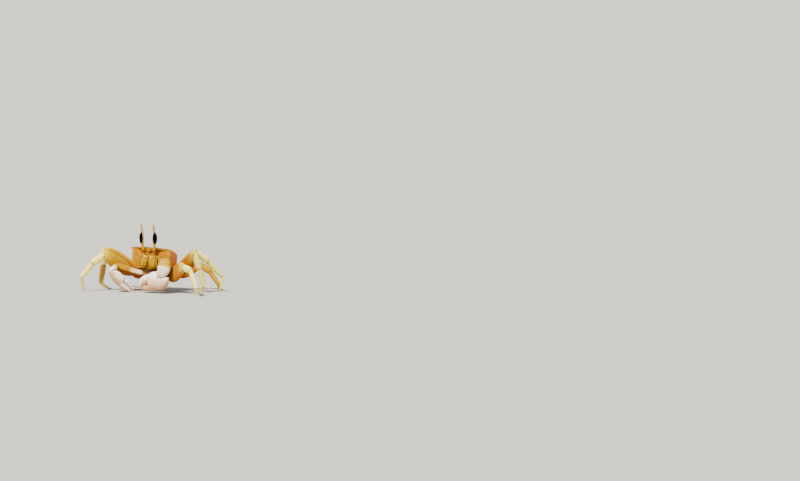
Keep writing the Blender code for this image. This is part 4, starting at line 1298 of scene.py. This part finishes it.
def build_leg(row):
    """One walking leg: thigh, knee piece, shank, toe, and the skin in its joints."""
    number, side = row[:2]
    girth = LEG_GIRTH[number]
    start, facet, coxa_end = hip(number, side)
    (_, knee, wrist, ankle, toe), normal = leg_joints(*row)
    bend_knee = shared_plane(coxa_end, knee, wrist)
    bend_wrist = shared_plane(knee, wrist, ankle)
    bend_ankle = shared_plane(wrist, ankle, toe)

    rise = np.cross(normal, heading_vector(row[2]))
    arch = coxa_end + (knee - coxa_end) * 0.3 + rise * MERUS_ARCH.get((number, side), 0.0)
    thigh = bezier((start, coxa_end, arch, short_of(knee, coxa_end, bend_knee)), 60)
    bow = np.cross(normal, toe - ankle) * DACTYL_BOW
    toe_path = bezier((short_of(ankle, toe, bend_ankle), (ankle + toe) / 2 + 2 * bow, toe), 40)
    # The left thighs wear a deeper orange that is partly painted shade
    upper = "left_thigh" if side == "l" else "thigh"
    # The hindmost left shank is drawn gold as painted shade
    lower = "gold_shank" if (number, side) == (5, "l") else "shank"
    # The third right shank is drawn tan as painted shade
    shank = "tan_shank" if (number, side) == (3, "r") else lower
    last = "toe" if lower == "shank" else lower
    merus = FRONT_MERUS if number == 2 else MERUS
    thigh_mesh = {"rings": 150, "sides": 72, "blend": 0.36}
    toe_mesh = {"rings": 80, "sides": 40, "blend": 0.3, "reach": 3.0}
    knee_path = between(knee, wrist, bend_knee, bend_wrist)
    shank_path = between(wrist, ankle, bend_wrist, bend_ankle)
    segments = (
        ("thigh", "merus", upper, merus_relief, thigh, merus, facet, bend_knee, thigh_mesh),
        ("knee", "carpus", lower, shank_relief, knee_path, CARPUS, bend_knee, bend_wrist, {}),
        ("shank", "propodus", shank, shank_relief, shank_path, PROPODUS, bend_wrist, bend_ankle, {}),
        ("toe", "dactyl", last, toe_relief, toe_path, DACTYL, bend_ankle, -UP, toe_mesh),
    )
    name = f"leg{number}{side}_"
    for part, node, wearer, relief, path, rows, first_plane, last_plane, mesh in segments:
        slot = "leg_upper_shell" if part == "thigh" else "leg_lower_shell"
        surface = limb(path, normal, scaled(rows, girth), first_plane, last_plane, **mesh)
        segment(name + part, name + node, wearer, slot, relief, surface)

    skins = []
    joints = ((knee, bend_knee, 3.4, 2.4), (wrist, bend_wrist, 2.8, 1.9), (ankle, bend_ankle, 1.8, 1.4))
    for joint, bend, tall, thick in joints:
        axes = (normal, np.cross(bend, normal), bend)
        skins.append(blob(joint, axes, (0.95 * thick * girth, 0.95 * tall * girth, 0.9)))
        for hand in (-1, 1):
            condyle = joint + normal * hand * 0.93 * thick * girth
            skins.append(blob(condyle, axes, (0.42 * girth, 0.62 * girth, 0.62 * girth)))
    skins.append(hip_skin(start, facet, 2.9 * girth, 3.8 * girth))
    piece(name + "skin", skins, "skin", "leg_lower_shell")


def palm_frame(heel, distal):
    """Directions along, up and across a palm that hangs upright."""
    way = unit(distal - heel)
    up = unit(UP - way[2] * way)
    return way, up, np.cross(way, up)


def flattened(grid, spot, normal):
    """A grid with every point behind a plane brought forward onto it."""
    return grid + np.maximum((spot - grid) @ normal, 0)[..., None] * normal


def finger_teeth(place, first, last, spacing):
    """Blunt teeth, 0 to 1, between two places along a finger's biting edge."""
    inside = np.clip((place - first) * 2, 0, 1) * np.clip((last - place) * 2, 0, 1)
    phase = np.abs(np.sin(np.pi * (place - first) / spacing))
    return inside * phase**0.7 * (0.6 + 0.4 * np.sin(place * 1.9) ** 2)


def claw_relief(grid, fields, girth, seed, low_only=False):
    """Grains over a claw piece, larger low down, and the field that marks them."""
    rings, sides = grid.shape[:2]
    place = walked(grid.mean(axis=1))[:, None] * np.ones(sides)
    turn = np.arange(sides) / sides * np.ones((rings, 1))
    grain = grains(place, turn, relief_size("claw_grain_spacing"), girth, seed)
    crest = fields["crest"]
    weight = np.clip(0.55 - 0.8 * crest, 0.2, 1) if low_only else np.full_like(crest, 0.5)
    ends = np.clip(np.minimum(place, place[-1] - place), 0, 1)
    fields["grain"] = grain * weight
    return displaced(grid, relief_size("claw_grain_height") * grain * weight * ends)


def claw_shell(name, node, grid, fields, dome=0.0):
    """One white shell piece of a claw."""
    piece(name, [capped(grid, fields, dome)], "claw", "claw_shell", node)


def build_big_claw():
    """Large left claw: arm, wrist piece, palm with its fixed finger, and thumb."""
    start, facet, coxa_end = hip(1, "l")
    way, up, across = palm_frame(BIG_HEEL, BIG_DISTAL)
    bend = unit(unit(BIG_ELBOW - coxa_end) + unit(BIG_ELBOW_LEAVES))
    arm = bezier((start, coxa_end, BIG_MERUS_BEND, BIG_ELBOW - bend * GAP / 2), 60)
    surface = limb(arm, (0, -1, 0), CLAW_MERUS, facet, bend, 110, 64, blend=0.4)
    segment("claw_l_arm", "claw_l_merus", "arm", "claw_arm_shell", merus_relief, surface)

    path = bezier((BIG_CARPUS_CROWN, BIG_CARPUS_BULGE, BIG_WRIST - way * 6.0, BIG_WRIST), 60)
    side = heading_vector(BIG_CARPUS_HEADING)
    grid, fields, _ = limb(path, side, BIG_CARPUS, -UP, way, 130, 110, power=2.5)
    share, spot = fields["along"], grid @ side
    crease = hill(share, 0.06 + 0.006 * (spot - spot.mean()) ** 2, 0.02)
    # Painted shadow: the lowest 1.8 mm of the wrist piece turns brown above the palm
    shaded_lower_edge = np.clip(1 - (grid[..., 2] - grid[..., 2].min()) / 1.8, 0, 1)
    fields["gold"] = np.clip(1.8 - 2.9 * share, 0, 1.3)
    fields["line"] = np.clip(0.9 * crease + 0.6 * shaded_lower_edge, 0, 1)
    # The crest falls towards the wrist, so the piece's lower part turns pink-tan, partly painted shade
    fields["crest"] = 0.9 - 0.9 * share
    grid = claw_relief(displaced(grid, -0.3 * crease), fields, 40, 21)
    grid = flattened(grid, BIG_ELBOW + bend * GAP / 2, bend)
    claw_shell("claw_l_wrist", "claw_l_carpus", grid, fields, 0.5)

    cosine, sine = oval(150, 2.4)
    place = np.linspace(BIG_PALM[0][0], BIG_PALM[-1][0], 190)
    rows = smooth_rows(place, BIG_PALM)
    top, bottom, half = rows[:, 0:1], rows[:, 1:2], rows[:, 2:3]
    top = top + 0.9 * finger_teeth(place, 25.8, 34.5, 1.45)[:, None]
    y = (top - bottom) / 2 + (top + bottom) / 2 * sine
    grid = BIG_HEEL + place[:, None, None] * way + y[..., None] * up
    grid = grid + (half * cosine)[..., None] * across
    fields = {
        "along": place[:, None] / place[-1] * np.ones_like(y),
        "crest": np.clip(y / 9.5, -1, 1),
    }
    rasp = hill(place, 19.0, 0.9)[:, None] * bump(y, -0.5, 6.5) * np.clip(cosine * 3, 0, 1)
    rasp = rasp * (0.5 + 0.5 * np.sin(2 * np.pi * y / 0.7))
    grid = claw_relief(displaced(grid, 0.3 * rasp), fields, 46, 31, True)
    claw_shell("claw_l_hand", "claw_l_palm", grid, fields, 0.6)

    route = ((25.4, 2.6), (31.0, 2.9), (36.8, 1.0), (36.7, -5.8))
    path = bezier([BIG_HEEL + way * x + up * y for x, y in route], 60)
    socket = unit(way * 14.2 + up * 1.6)
    grid, fields, length = limb(path, across, BIG_FINGER, socket, unit(path[-1] - path[-2]), 130, 90)
    bite = finger_teeth(fields["along"] * length, 5.0, 15.5, 1.5)
    bite = bite * np.clip(-4 * fields["crest"] - 2.6, 0, 1)
    grid = claw_relief(displaced(grid, 0.7 * bite), fields, 28, 41)
    claw_shell("claw_l_thumb", "claw_l_dactyl", grid, fields, 0.2)

    elbow_axes = (unit(np.cross(bend, UP)), unit(np.cross(bend, (1, 0, 0))), bend)
    parts = [
        blob(BIG_ELBOW, elbow_axes, (3.0, 3.4, 1.0)),
        blob(BIG_WRIST, (across, up, way), (3.9, 3.9, 1.0)),
        hip_skin(start, facet, 2.8, 3.3),
    ]
    piece("claw_l_skin", parts, "skin", "claw_arm_shell")


def build_small_claw():
    """Small right claw, set down on the floor by the tip of its fixed finger."""
    start, facet, coxa_end = hip(1, "r")
    palm_way = unit(SMALL_TIP - SMALL_WRIST)
    side = np.cross(unit(SMALL_ELBOW - coxa_end), UP)
    bend_elbow = shared_plane(coxa_end, SMALL_ELBOW, SMALL_WRIST)
    bend_wrist = shared_plane(SMALL_ELBOW, SMALL_WRIST, SMALL_TIP)
    middle = coxa_end + (SMALL_ELBOW - coxa_end) * 0.3
    arm = bezier((start, coxa_end, middle, short_of(SMALL_ELBOW, coxa_end, bend_elbow)), 60)
    rows = scaled(CLAW_MERUS, SMALL_GIRTH)
    surface = limb(arm, side, rows, facet, bend_elbow, 120, 64, blend=0.36)
    segment("claw_r_arm", "claw_r_merus", "pale_arm", "claw_arm_shell", merus_relief, surface)

    path = between(SMALL_ELBOW, SMALL_WRIST, bend_elbow, bend_wrist)
    grid, fields, _ = limb(path, side, SMALL_CARPUS, bend_elbow, bend_wrist, 90, 80)
    fields["gold"] = np.clip(1.3 - 1.3 * fields["along"], 0, 1)
    claw_shell("claw_r_wrist", "claw_r_carpus", claw_relief(grid, fields, 24, 51), fields)

    flat, rise = SMALL_PALM_LEAN
    up = unit(flat * heading_vector(SMALL_PALM_HEADING) + rise * UP)
    up = unit(up - np.dot(up, palm_way) * palm_way)
    across = np.cross(palm_way, up)
    rows = tuple((row[0] / SMALL_PALM[-1][0],) + row[1:] for row in SMALL_PALM)
    path = np.linspace(short_of(SMALL_WRIST, SMALL_TIP, bend_wrist), SMALL_TIP, 30)
    grid, fields, length = limb(
        path, across, rows, bend_wrist, -UP, 170, 100, power=2.4, blend=0.25, reach=3.0
    )
    bite = finger_teeth(fields["along"] * length, 16.8, 30.0, 1.1)
    bite = bite * np.clip(4 * fields["crest"] - 2.6, 0, 1)
    grid = claw_relief(displaced(grid, 0.45 * bite), fields, 32, 61, True)
    grid[..., 2] = np.maximum(grid[..., 2], 0.0)
    claw_shell("claw_r_hand", "claw_r_palm", grid, fields)

    share = np.linalg.norm(SMALL_TIP - SMALL_WRIST) / SMALL_PALM[-1][0]
    route = ((16.0, 1.9), (21.0, 3.4), (27.0, 2.6), (31.4, 1.6))
    path = bezier([SMALL_WRIST + palm_way * x * share + up * y for x, y in route], 50)
    socket = unit(palm_way * 5.1 + up * 1.2)
    grid, fields, _ = limb(path, across, SMALL_FINGER, socket, unit(path[-1] - path[-2]), 110, 64)
    claw_shell("claw_r_thumb", "claw_r_dactyl", claw_relief(grid, fields, 15, 71), fields, 0.2)

    parts = [
        blob(SMALL_ELBOW, (side, np.cross(bend_elbow, side), bend_elbow), (2.2, 2.9, 0.9)),
        blob(SMALL_WRIST, (across, up, palm_way), (2.3, 2.7, 0.9)),
        hip_skin(start, facet, 2.8, 3.3),
    ]
    piece("claw_r_skin", parts, "skin", "claw_arm_shell")


def number_setting(name, description, value, **settings):
    """A setting that is one number."""
    return bpy.props.FloatProperty(name=name, description=description, default=value, **settings)


def size_setting(name, description, millimetres):
    """A setting that is a length, given in millimetres."""
    return number_setting(name, description, millimetres * MM, min=0.0, unit="LENGTH", precision=5)


def angle_setting(name, description, degrees):
    """A setting that is an angle, given in degrees."""
    return number_setting(name, description, math.radians(degrees), unit="ROTATION")


def colour_setting(name, description, code):
    """A setting that is a colour, given as sRGB hex."""
    return bpy.props.FloatVectorProperty(
        name=name, description=description, default=linear(code), min=0.0, max=1.0, subtype="COLOR"
    )


class CrabRelief(bpy.types.PropertyGroup):
    """Sizes of the grains, beads and furrows of the shell."""

    groove_depth: size_setting("Back furrows", "Depth of the H-shaped furrows of the back", 0.45)
    bead_spacing: size_setting("Bead spacing", "Distance between beads along the rims", 1.0)
    bead_height: size_setting("Bead height", "Height of the beads along the rims", 0.22)
    grain_spacing: size_setting("Grain spacing", "Distance between grains of the face", 1.5)
    grain_height: size_setting("Grain height", "Height of the grains of the face", 0.2)
    furrow_depth: size_setting("Shank furrows", "Depth of the furrows along the lower legs", 0.16)
    claw_grain_spacing: size_setting("Claw grain spacing", "Distance between grains of the claws", 1.6)
    claw_grain_height: size_setting("Claw grain height", "Height of the grains of the claws", 0.34)


class CrabColours(bpy.types.PropertyGroup):
    """Colours of the shell, the eyes and the joint skin."""

    face: colour_setting("Face", "Golden yellow of the face", "#A07800")
    flank: colour_setting("Flanks", "Orange of the side walls", "#DC7C00")
    back: colour_setting("Back", "Orange-gold of the back", "#A06800")
    pale: colour_setting("Lower face", "Paler yellow beside the mouth", "#C8AE30")
    patch: colour_setting("Face patches", "Orange patches of the face and its margin", "#9C5200")
    # mottle is also the painted shade on the low sides of the small arm, the chest, the tail and the
    # feelers
    mottle: colour_setting("Mottling", "Brown pigment spots", "#6A2E06")
    # Partly painted shadow: the line lies under the overhanging margin and round the eyestalks' sockets
    rim: colour_setting("Orbit edge", "Red-brown line on the orbit's edge", "#862C00")
    thigh: colour_setting("Thighs", "Yellow-orange of the upper legs", "#A27800")
    # Partly painted shade: the left thighs are drawn a deeper orange than the right ones
    flame: colour_setting("Left thighs", "Deeper orange of the left upper legs", "#A46800")
    # thigh_root is also the painted shade on the low sides of the thighs, the big arm and the gold and tan
    # shanks
    thigh_root: colour_setting("Thigh roots", "Burnt orange near the body", "#984800")
    knee: colour_setting("Knees", "Cream of the knees", "#D6C42C")
    shank: colour_setting("Lower legs", "Pale cream-yellow", "#FBEE7A")
    # shank_root is also the painted shade on the low sides of the cream shanks and the toes
    shank_root: colour_setting("Lower leg shade", "Straw shade at the joints", "#BE9034")
    # Painted shade: the third right shank is drawn tan where it lies under the second
    tan: colour_setting("Tan shank", "Tan of the third right shank", "#B08438")
    # gold is painted shade on the hindmost left shank, and the arm's own yellow on the claws' wrist pieces
    gold: colour_setting("Golden shank", "Gold of the hindmost left shank", "#AA8400")
    toe_tip: colour_setting("Toe tips", "Horny tan of the toe tips", "#A06A34")
    claw: colour_setting("Claws", "White of the claws", "#FBF0E4")
    # Partly painted shade: the pink-tan of the claws' lower sides
    claw_low: colour_setting("Claw undersides", "Pink-tan low on the claws", "#BE8C58")
    claw_grain: colour_setting("Claw grains", "Tan-pink of the grains", "#B4683E")
    pale_arm: colour_setting("Small arm", "Cream of the small arm's root", "#F4E0A8")
    # Partly painted shade: darkened for the shade under the body
    underside: colour_setting("Underside", "Straw of the chest and tail", "#98683A")
    mouth: colour_setting("Mouth plates", "Gold of the mouth plates", "#A47C06")
    mouth_edge: colour_setting("Mouth plate edge", "Tan of the plates' edge", "#5A2C08")
    stalk: colour_setting("Eyestalks", "Pale straw of the stalk behind the eye", "#E2C070")
    stalk_foot: colour_setting("Stalk feet", "Yellow knob of the stalk", "#966C00")
    horn: colour_setting("Horns", "Tan-pink of the horns", "#A87A46")
    horn_tip: colour_setting("Horn tips", "Red-brown of the horn tips", "#8E4C32")
    cornea: colour_setting("Cornea", "Black of the eye", "#040105")
    cornea_bloom: colour_setting("Cornea bloom", "Faint brown in the eye", "#1A0C0A")
    skin: colour_setting("Joint skin", "Brown of the joint skin", "#6A3A14")
    skin_fold: colour_setting("Skin folds", "Dark folds of the joint skin", "#2E1808")


class CrabStage(bpy.types.PropertyGroup):
    """The camera, the lights and the floor."""

    azimuth: angle_setting("Azimuth", "Camera's turn to the crab's left of straight ahead", 24)
    elevation: angle_setting("Elevation", "Camera's height above the floor as an angle", 5)
    distance: number_setting("Distance", "From the crab to the camera", 12.0, min=1.0, unit="LENGTH")
    key_strength: number_setting("Key light", "Strength of the main light", 9.5, min=0.0)
    fill_strength: number_setting("Fill light", "Strength of the weaker light", 1.0, min=0.0)
    ambient: number_setting("Ambient", "Strength of the light from all round", 0.45, min=0.0)
    floor: colour_setting("Floor", "Colour of the floor", "#BDBCB8")


class CRAB_OT_carapace(bpy.types.Operator):
    """Builds the carapace with its orbits, beaded rims and furrowed back"""

    bl_idname = "crab.carapace"
    bl_label = "Carapace"

    def execute(self, context):
        piece("shell_back", [carapace_surface()], "carapace", "carapace_shell", "carapace")
        return {"FINISHED"}


class CRAB_OT_underside(bpy.types.Operator):
    """Builds the chest, the skin that joins it to the carapace, and the tail folded under it"""

    bl_idname = "crab.underside"
    bl_label = "Underside"

    def execute(self, context):
        piece("shell_lining", [lining_surface()], "skin", "underside_shell")
        piece("shell_chest", [sternum_surface()], "underside", "underside_shell", "sternum")
        piece("shell_tail", [shell_tail_surface()], "underside", "underside_shell", "abdomen")
        return {"FINISHED"}


class CRAB_OT_mouth(bpy.types.Operator):
    """Builds the mouth plates, their outer branches and the feelers"""

    bl_idname = "crab.mouth"
    bl_label = "Mouth and feelers"

    def execute(self, context):
        for side in SIGN:
            plate, branch, feeler = mouth_surface(side), palp_surface(side), feeler_surface(side)
            piece("mouth_plate_" + side, [plate], "mouth", "mouth_shell", "maxilliped_" + side)
            piece("mouth_branch_" + side, [branch], "mouth", "mouth_shell")
            piece("feeler_" + side, [feeler], "underside", "feeler_shell", "antenna_" + side)
        return {"FINISHED"}


class CRAB_OT_eyes(bpy.types.Operator):
    """Builds the eyestalks with their horns, and the corneas"""

    bl_idname = "crab.eyes"
    bl_label = "Eyes"

    def execute(self, context):
        for side in SIGN:
            stalk, lens = stalk_surface(side), cornea_surface(side)
            piece("stalk_" + side, [stalk], "stalk", "eyestalk_shell", "eyestalk_" + side)
            piece("lens_" + side, [lens], "cornea", "cornea", "cornea_" + side)
        return {"FINISHED"}


class CRAB_OT_claws(bpy.types.Operator):
    """Builds the large left claw and the small right claw"""

    bl_idname = "crab.claws"
    bl_label = "Claws"

    def execute(self, context):
        build_big_claw()
        build_small_claw()
        return {"FINISHED"}


class CRAB_OT_legs(bpy.types.Operator):
    """Builds the eight walking legs"""

    bl_idname = "crab.legs"
    bl_label = "Walking legs"

    def execute(self, context):
        for row in LEGS:
            build_leg(row)
        return {"FINISHED"}


def facing(name, data, place, way, up):
    """An object for a camera or light at a place, looking along a way with its top up."""
    back = -unit(way)
    right = unit(np.cross(up, back))
    thing = bpy.data.objects.new(name, data)
    thing.location = place
    thing.rotation_mode = "QUATERNION"
    axes = np.column_stack([right, np.cross(back, right), back])
    thing.rotation_quaternion = Matrix(axes).to_quaternion()
    bpy.context.scene.collection.objects.link(thing)
    return thing


class CRAB_OT_stage(bpy.types.Operator):
    """Sets the floor, the lights and the camera at the photograph's viewing angle"""

    bl_idname = "crab.stage"
    bl_label = "Stage"

    def execute(self, context):
        stage = context.scene.crab_stage
        mesh = bpy.data.meshes.new("paper_floor")
        turns = ((-1, -1), (1, -1), (1, 1), (-1, 1))
        corners = [(x * FLOOR_HALF, y * FLOOR_HALF, 0.0) for x, y in turns]
        mesh.from_pydata(corners, [], [(0, 1, 2, 3)])
        mesh.materials.append(floor_finish(stage.floor))
        floor = bpy.data.objects.new("paper_floor", mesh)
        context.scene.collection.objects.link(floor)

        right = heading_vector(math.degrees(stage.azimuth))
        level = np.cross(right, UP)
        back = math.cos(stage.elevation) * level + math.sin(stage.elevation) * UP
        up = np.cross(back, right)
        foot = -ORIGIN * MM
        pixel = MM_PER_PIXEL * MM
        aim = foot + right * (IMAGE_WIDTH / 2 - FOOT_PIXEL[0]) * pixel
        aim = aim + up * (FOOT_PIXEL[1] - IMAGE_HEIGHT / 2) * pixel
        camera = bpy.data.cameras.new("camera")
        camera.sensor_width = SENSOR_WIDTH
        camera.lens = SENSOR_WIDTH * stage.distance / (IMAGE_WIDTH * pixel)
        camera.clip_end = 100.0
        place = foot + back * stage.distance
        context.scene.camera = facing("camera", camera, place, aim - place, up)

        for name, (aside, away, above), spread, strength, tint in LIGHTS:
            light = bpy.data.lights.new(name, "SUN")
            light.angle = math.radians(spread)
            light.energy = getattr(stage, strength)
            light.color = tint
            way = unit(aside * right + away * back + above * UP)
            facing(name, light, -way, way, (0.0, 1.0, 0.0))
        world = bpy.data.worlds.new("soft_surround")
        world.use_nodes = True
        surround = {"Color": SURROUND, "Strength": stage.ambient}
        feed(world.node_tree, world.node_tree.nodes["Background"], surround)
        context.scene.world = world
        return {"FINISHED"}


class CRAB_PT_panel(bpy.types.Panel):
    """Lists the crab's sizes and colours, and the operators that build it"""

    bl_idname = "CRAB_PT_panel"
    bl_label = "Ghost crab"
    bl_space_type = "VIEW_3D"
    bl_region_type = "UI"
    bl_category = "Ghost crab"

    def draw(self, context):
        for group in (context.scene.crab_relief, context.scene.crab_colours, context.scene.crab_stage):
            box = self.layout.box()
            for name in group.__annotations__:
                box.prop(group, name)
        for operator in OPERATORS:
            self.layout.operator(operator.bl_idname)


GROUPS = (("crab_relief", CrabRelief), ("crab_colours", CrabColours), ("crab_stage", CrabStage))
OPERATORS = (
    CRAB_OT_carapace,
    CRAB_OT_underside,
    CRAB_OT_mouth,
    CRAB_OT_eyes,
    CRAB_OT_claws,
    CRAB_OT_legs,
    CRAB_OT_stage,
)


def register():
    """Add the settings, the operators and the panel to Blender."""
    for name, group in GROUPS:
        bpy.utils.register_class(group)
        setattr(bpy.types.Scene, name, bpy.props.PointerProperty(type=group))
    for operator in OPERATORS:
        bpy.utils.register_class(operator)
    bpy.utils.register_class(CRAB_PT_panel)


def unregister():
    """Take the panel, the operators and the settings out again."""
    bpy.utils.unregister_class(CRAB_PT_panel)
    for operator in reversed(OPERATORS):
        bpy.utils.unregister_class(operator)
    for name, group in reversed(GROUPS):
        delattr(bpy.types.Scene, name)
        bpy.utils.unregister_class(group)


def main():
    """Build every piece and the stage."""
    register()
    bpy.ops.crab.carapace()
    bpy.ops.crab.underside()
    bpy.ops.crab.mouth()
    bpy.ops.crab.eyes()
    bpy.ops.crab.claws()
    bpy.ops.crab.legs()
    bpy.ops.crab.stage()


if __name__ == "__main__":
    main()
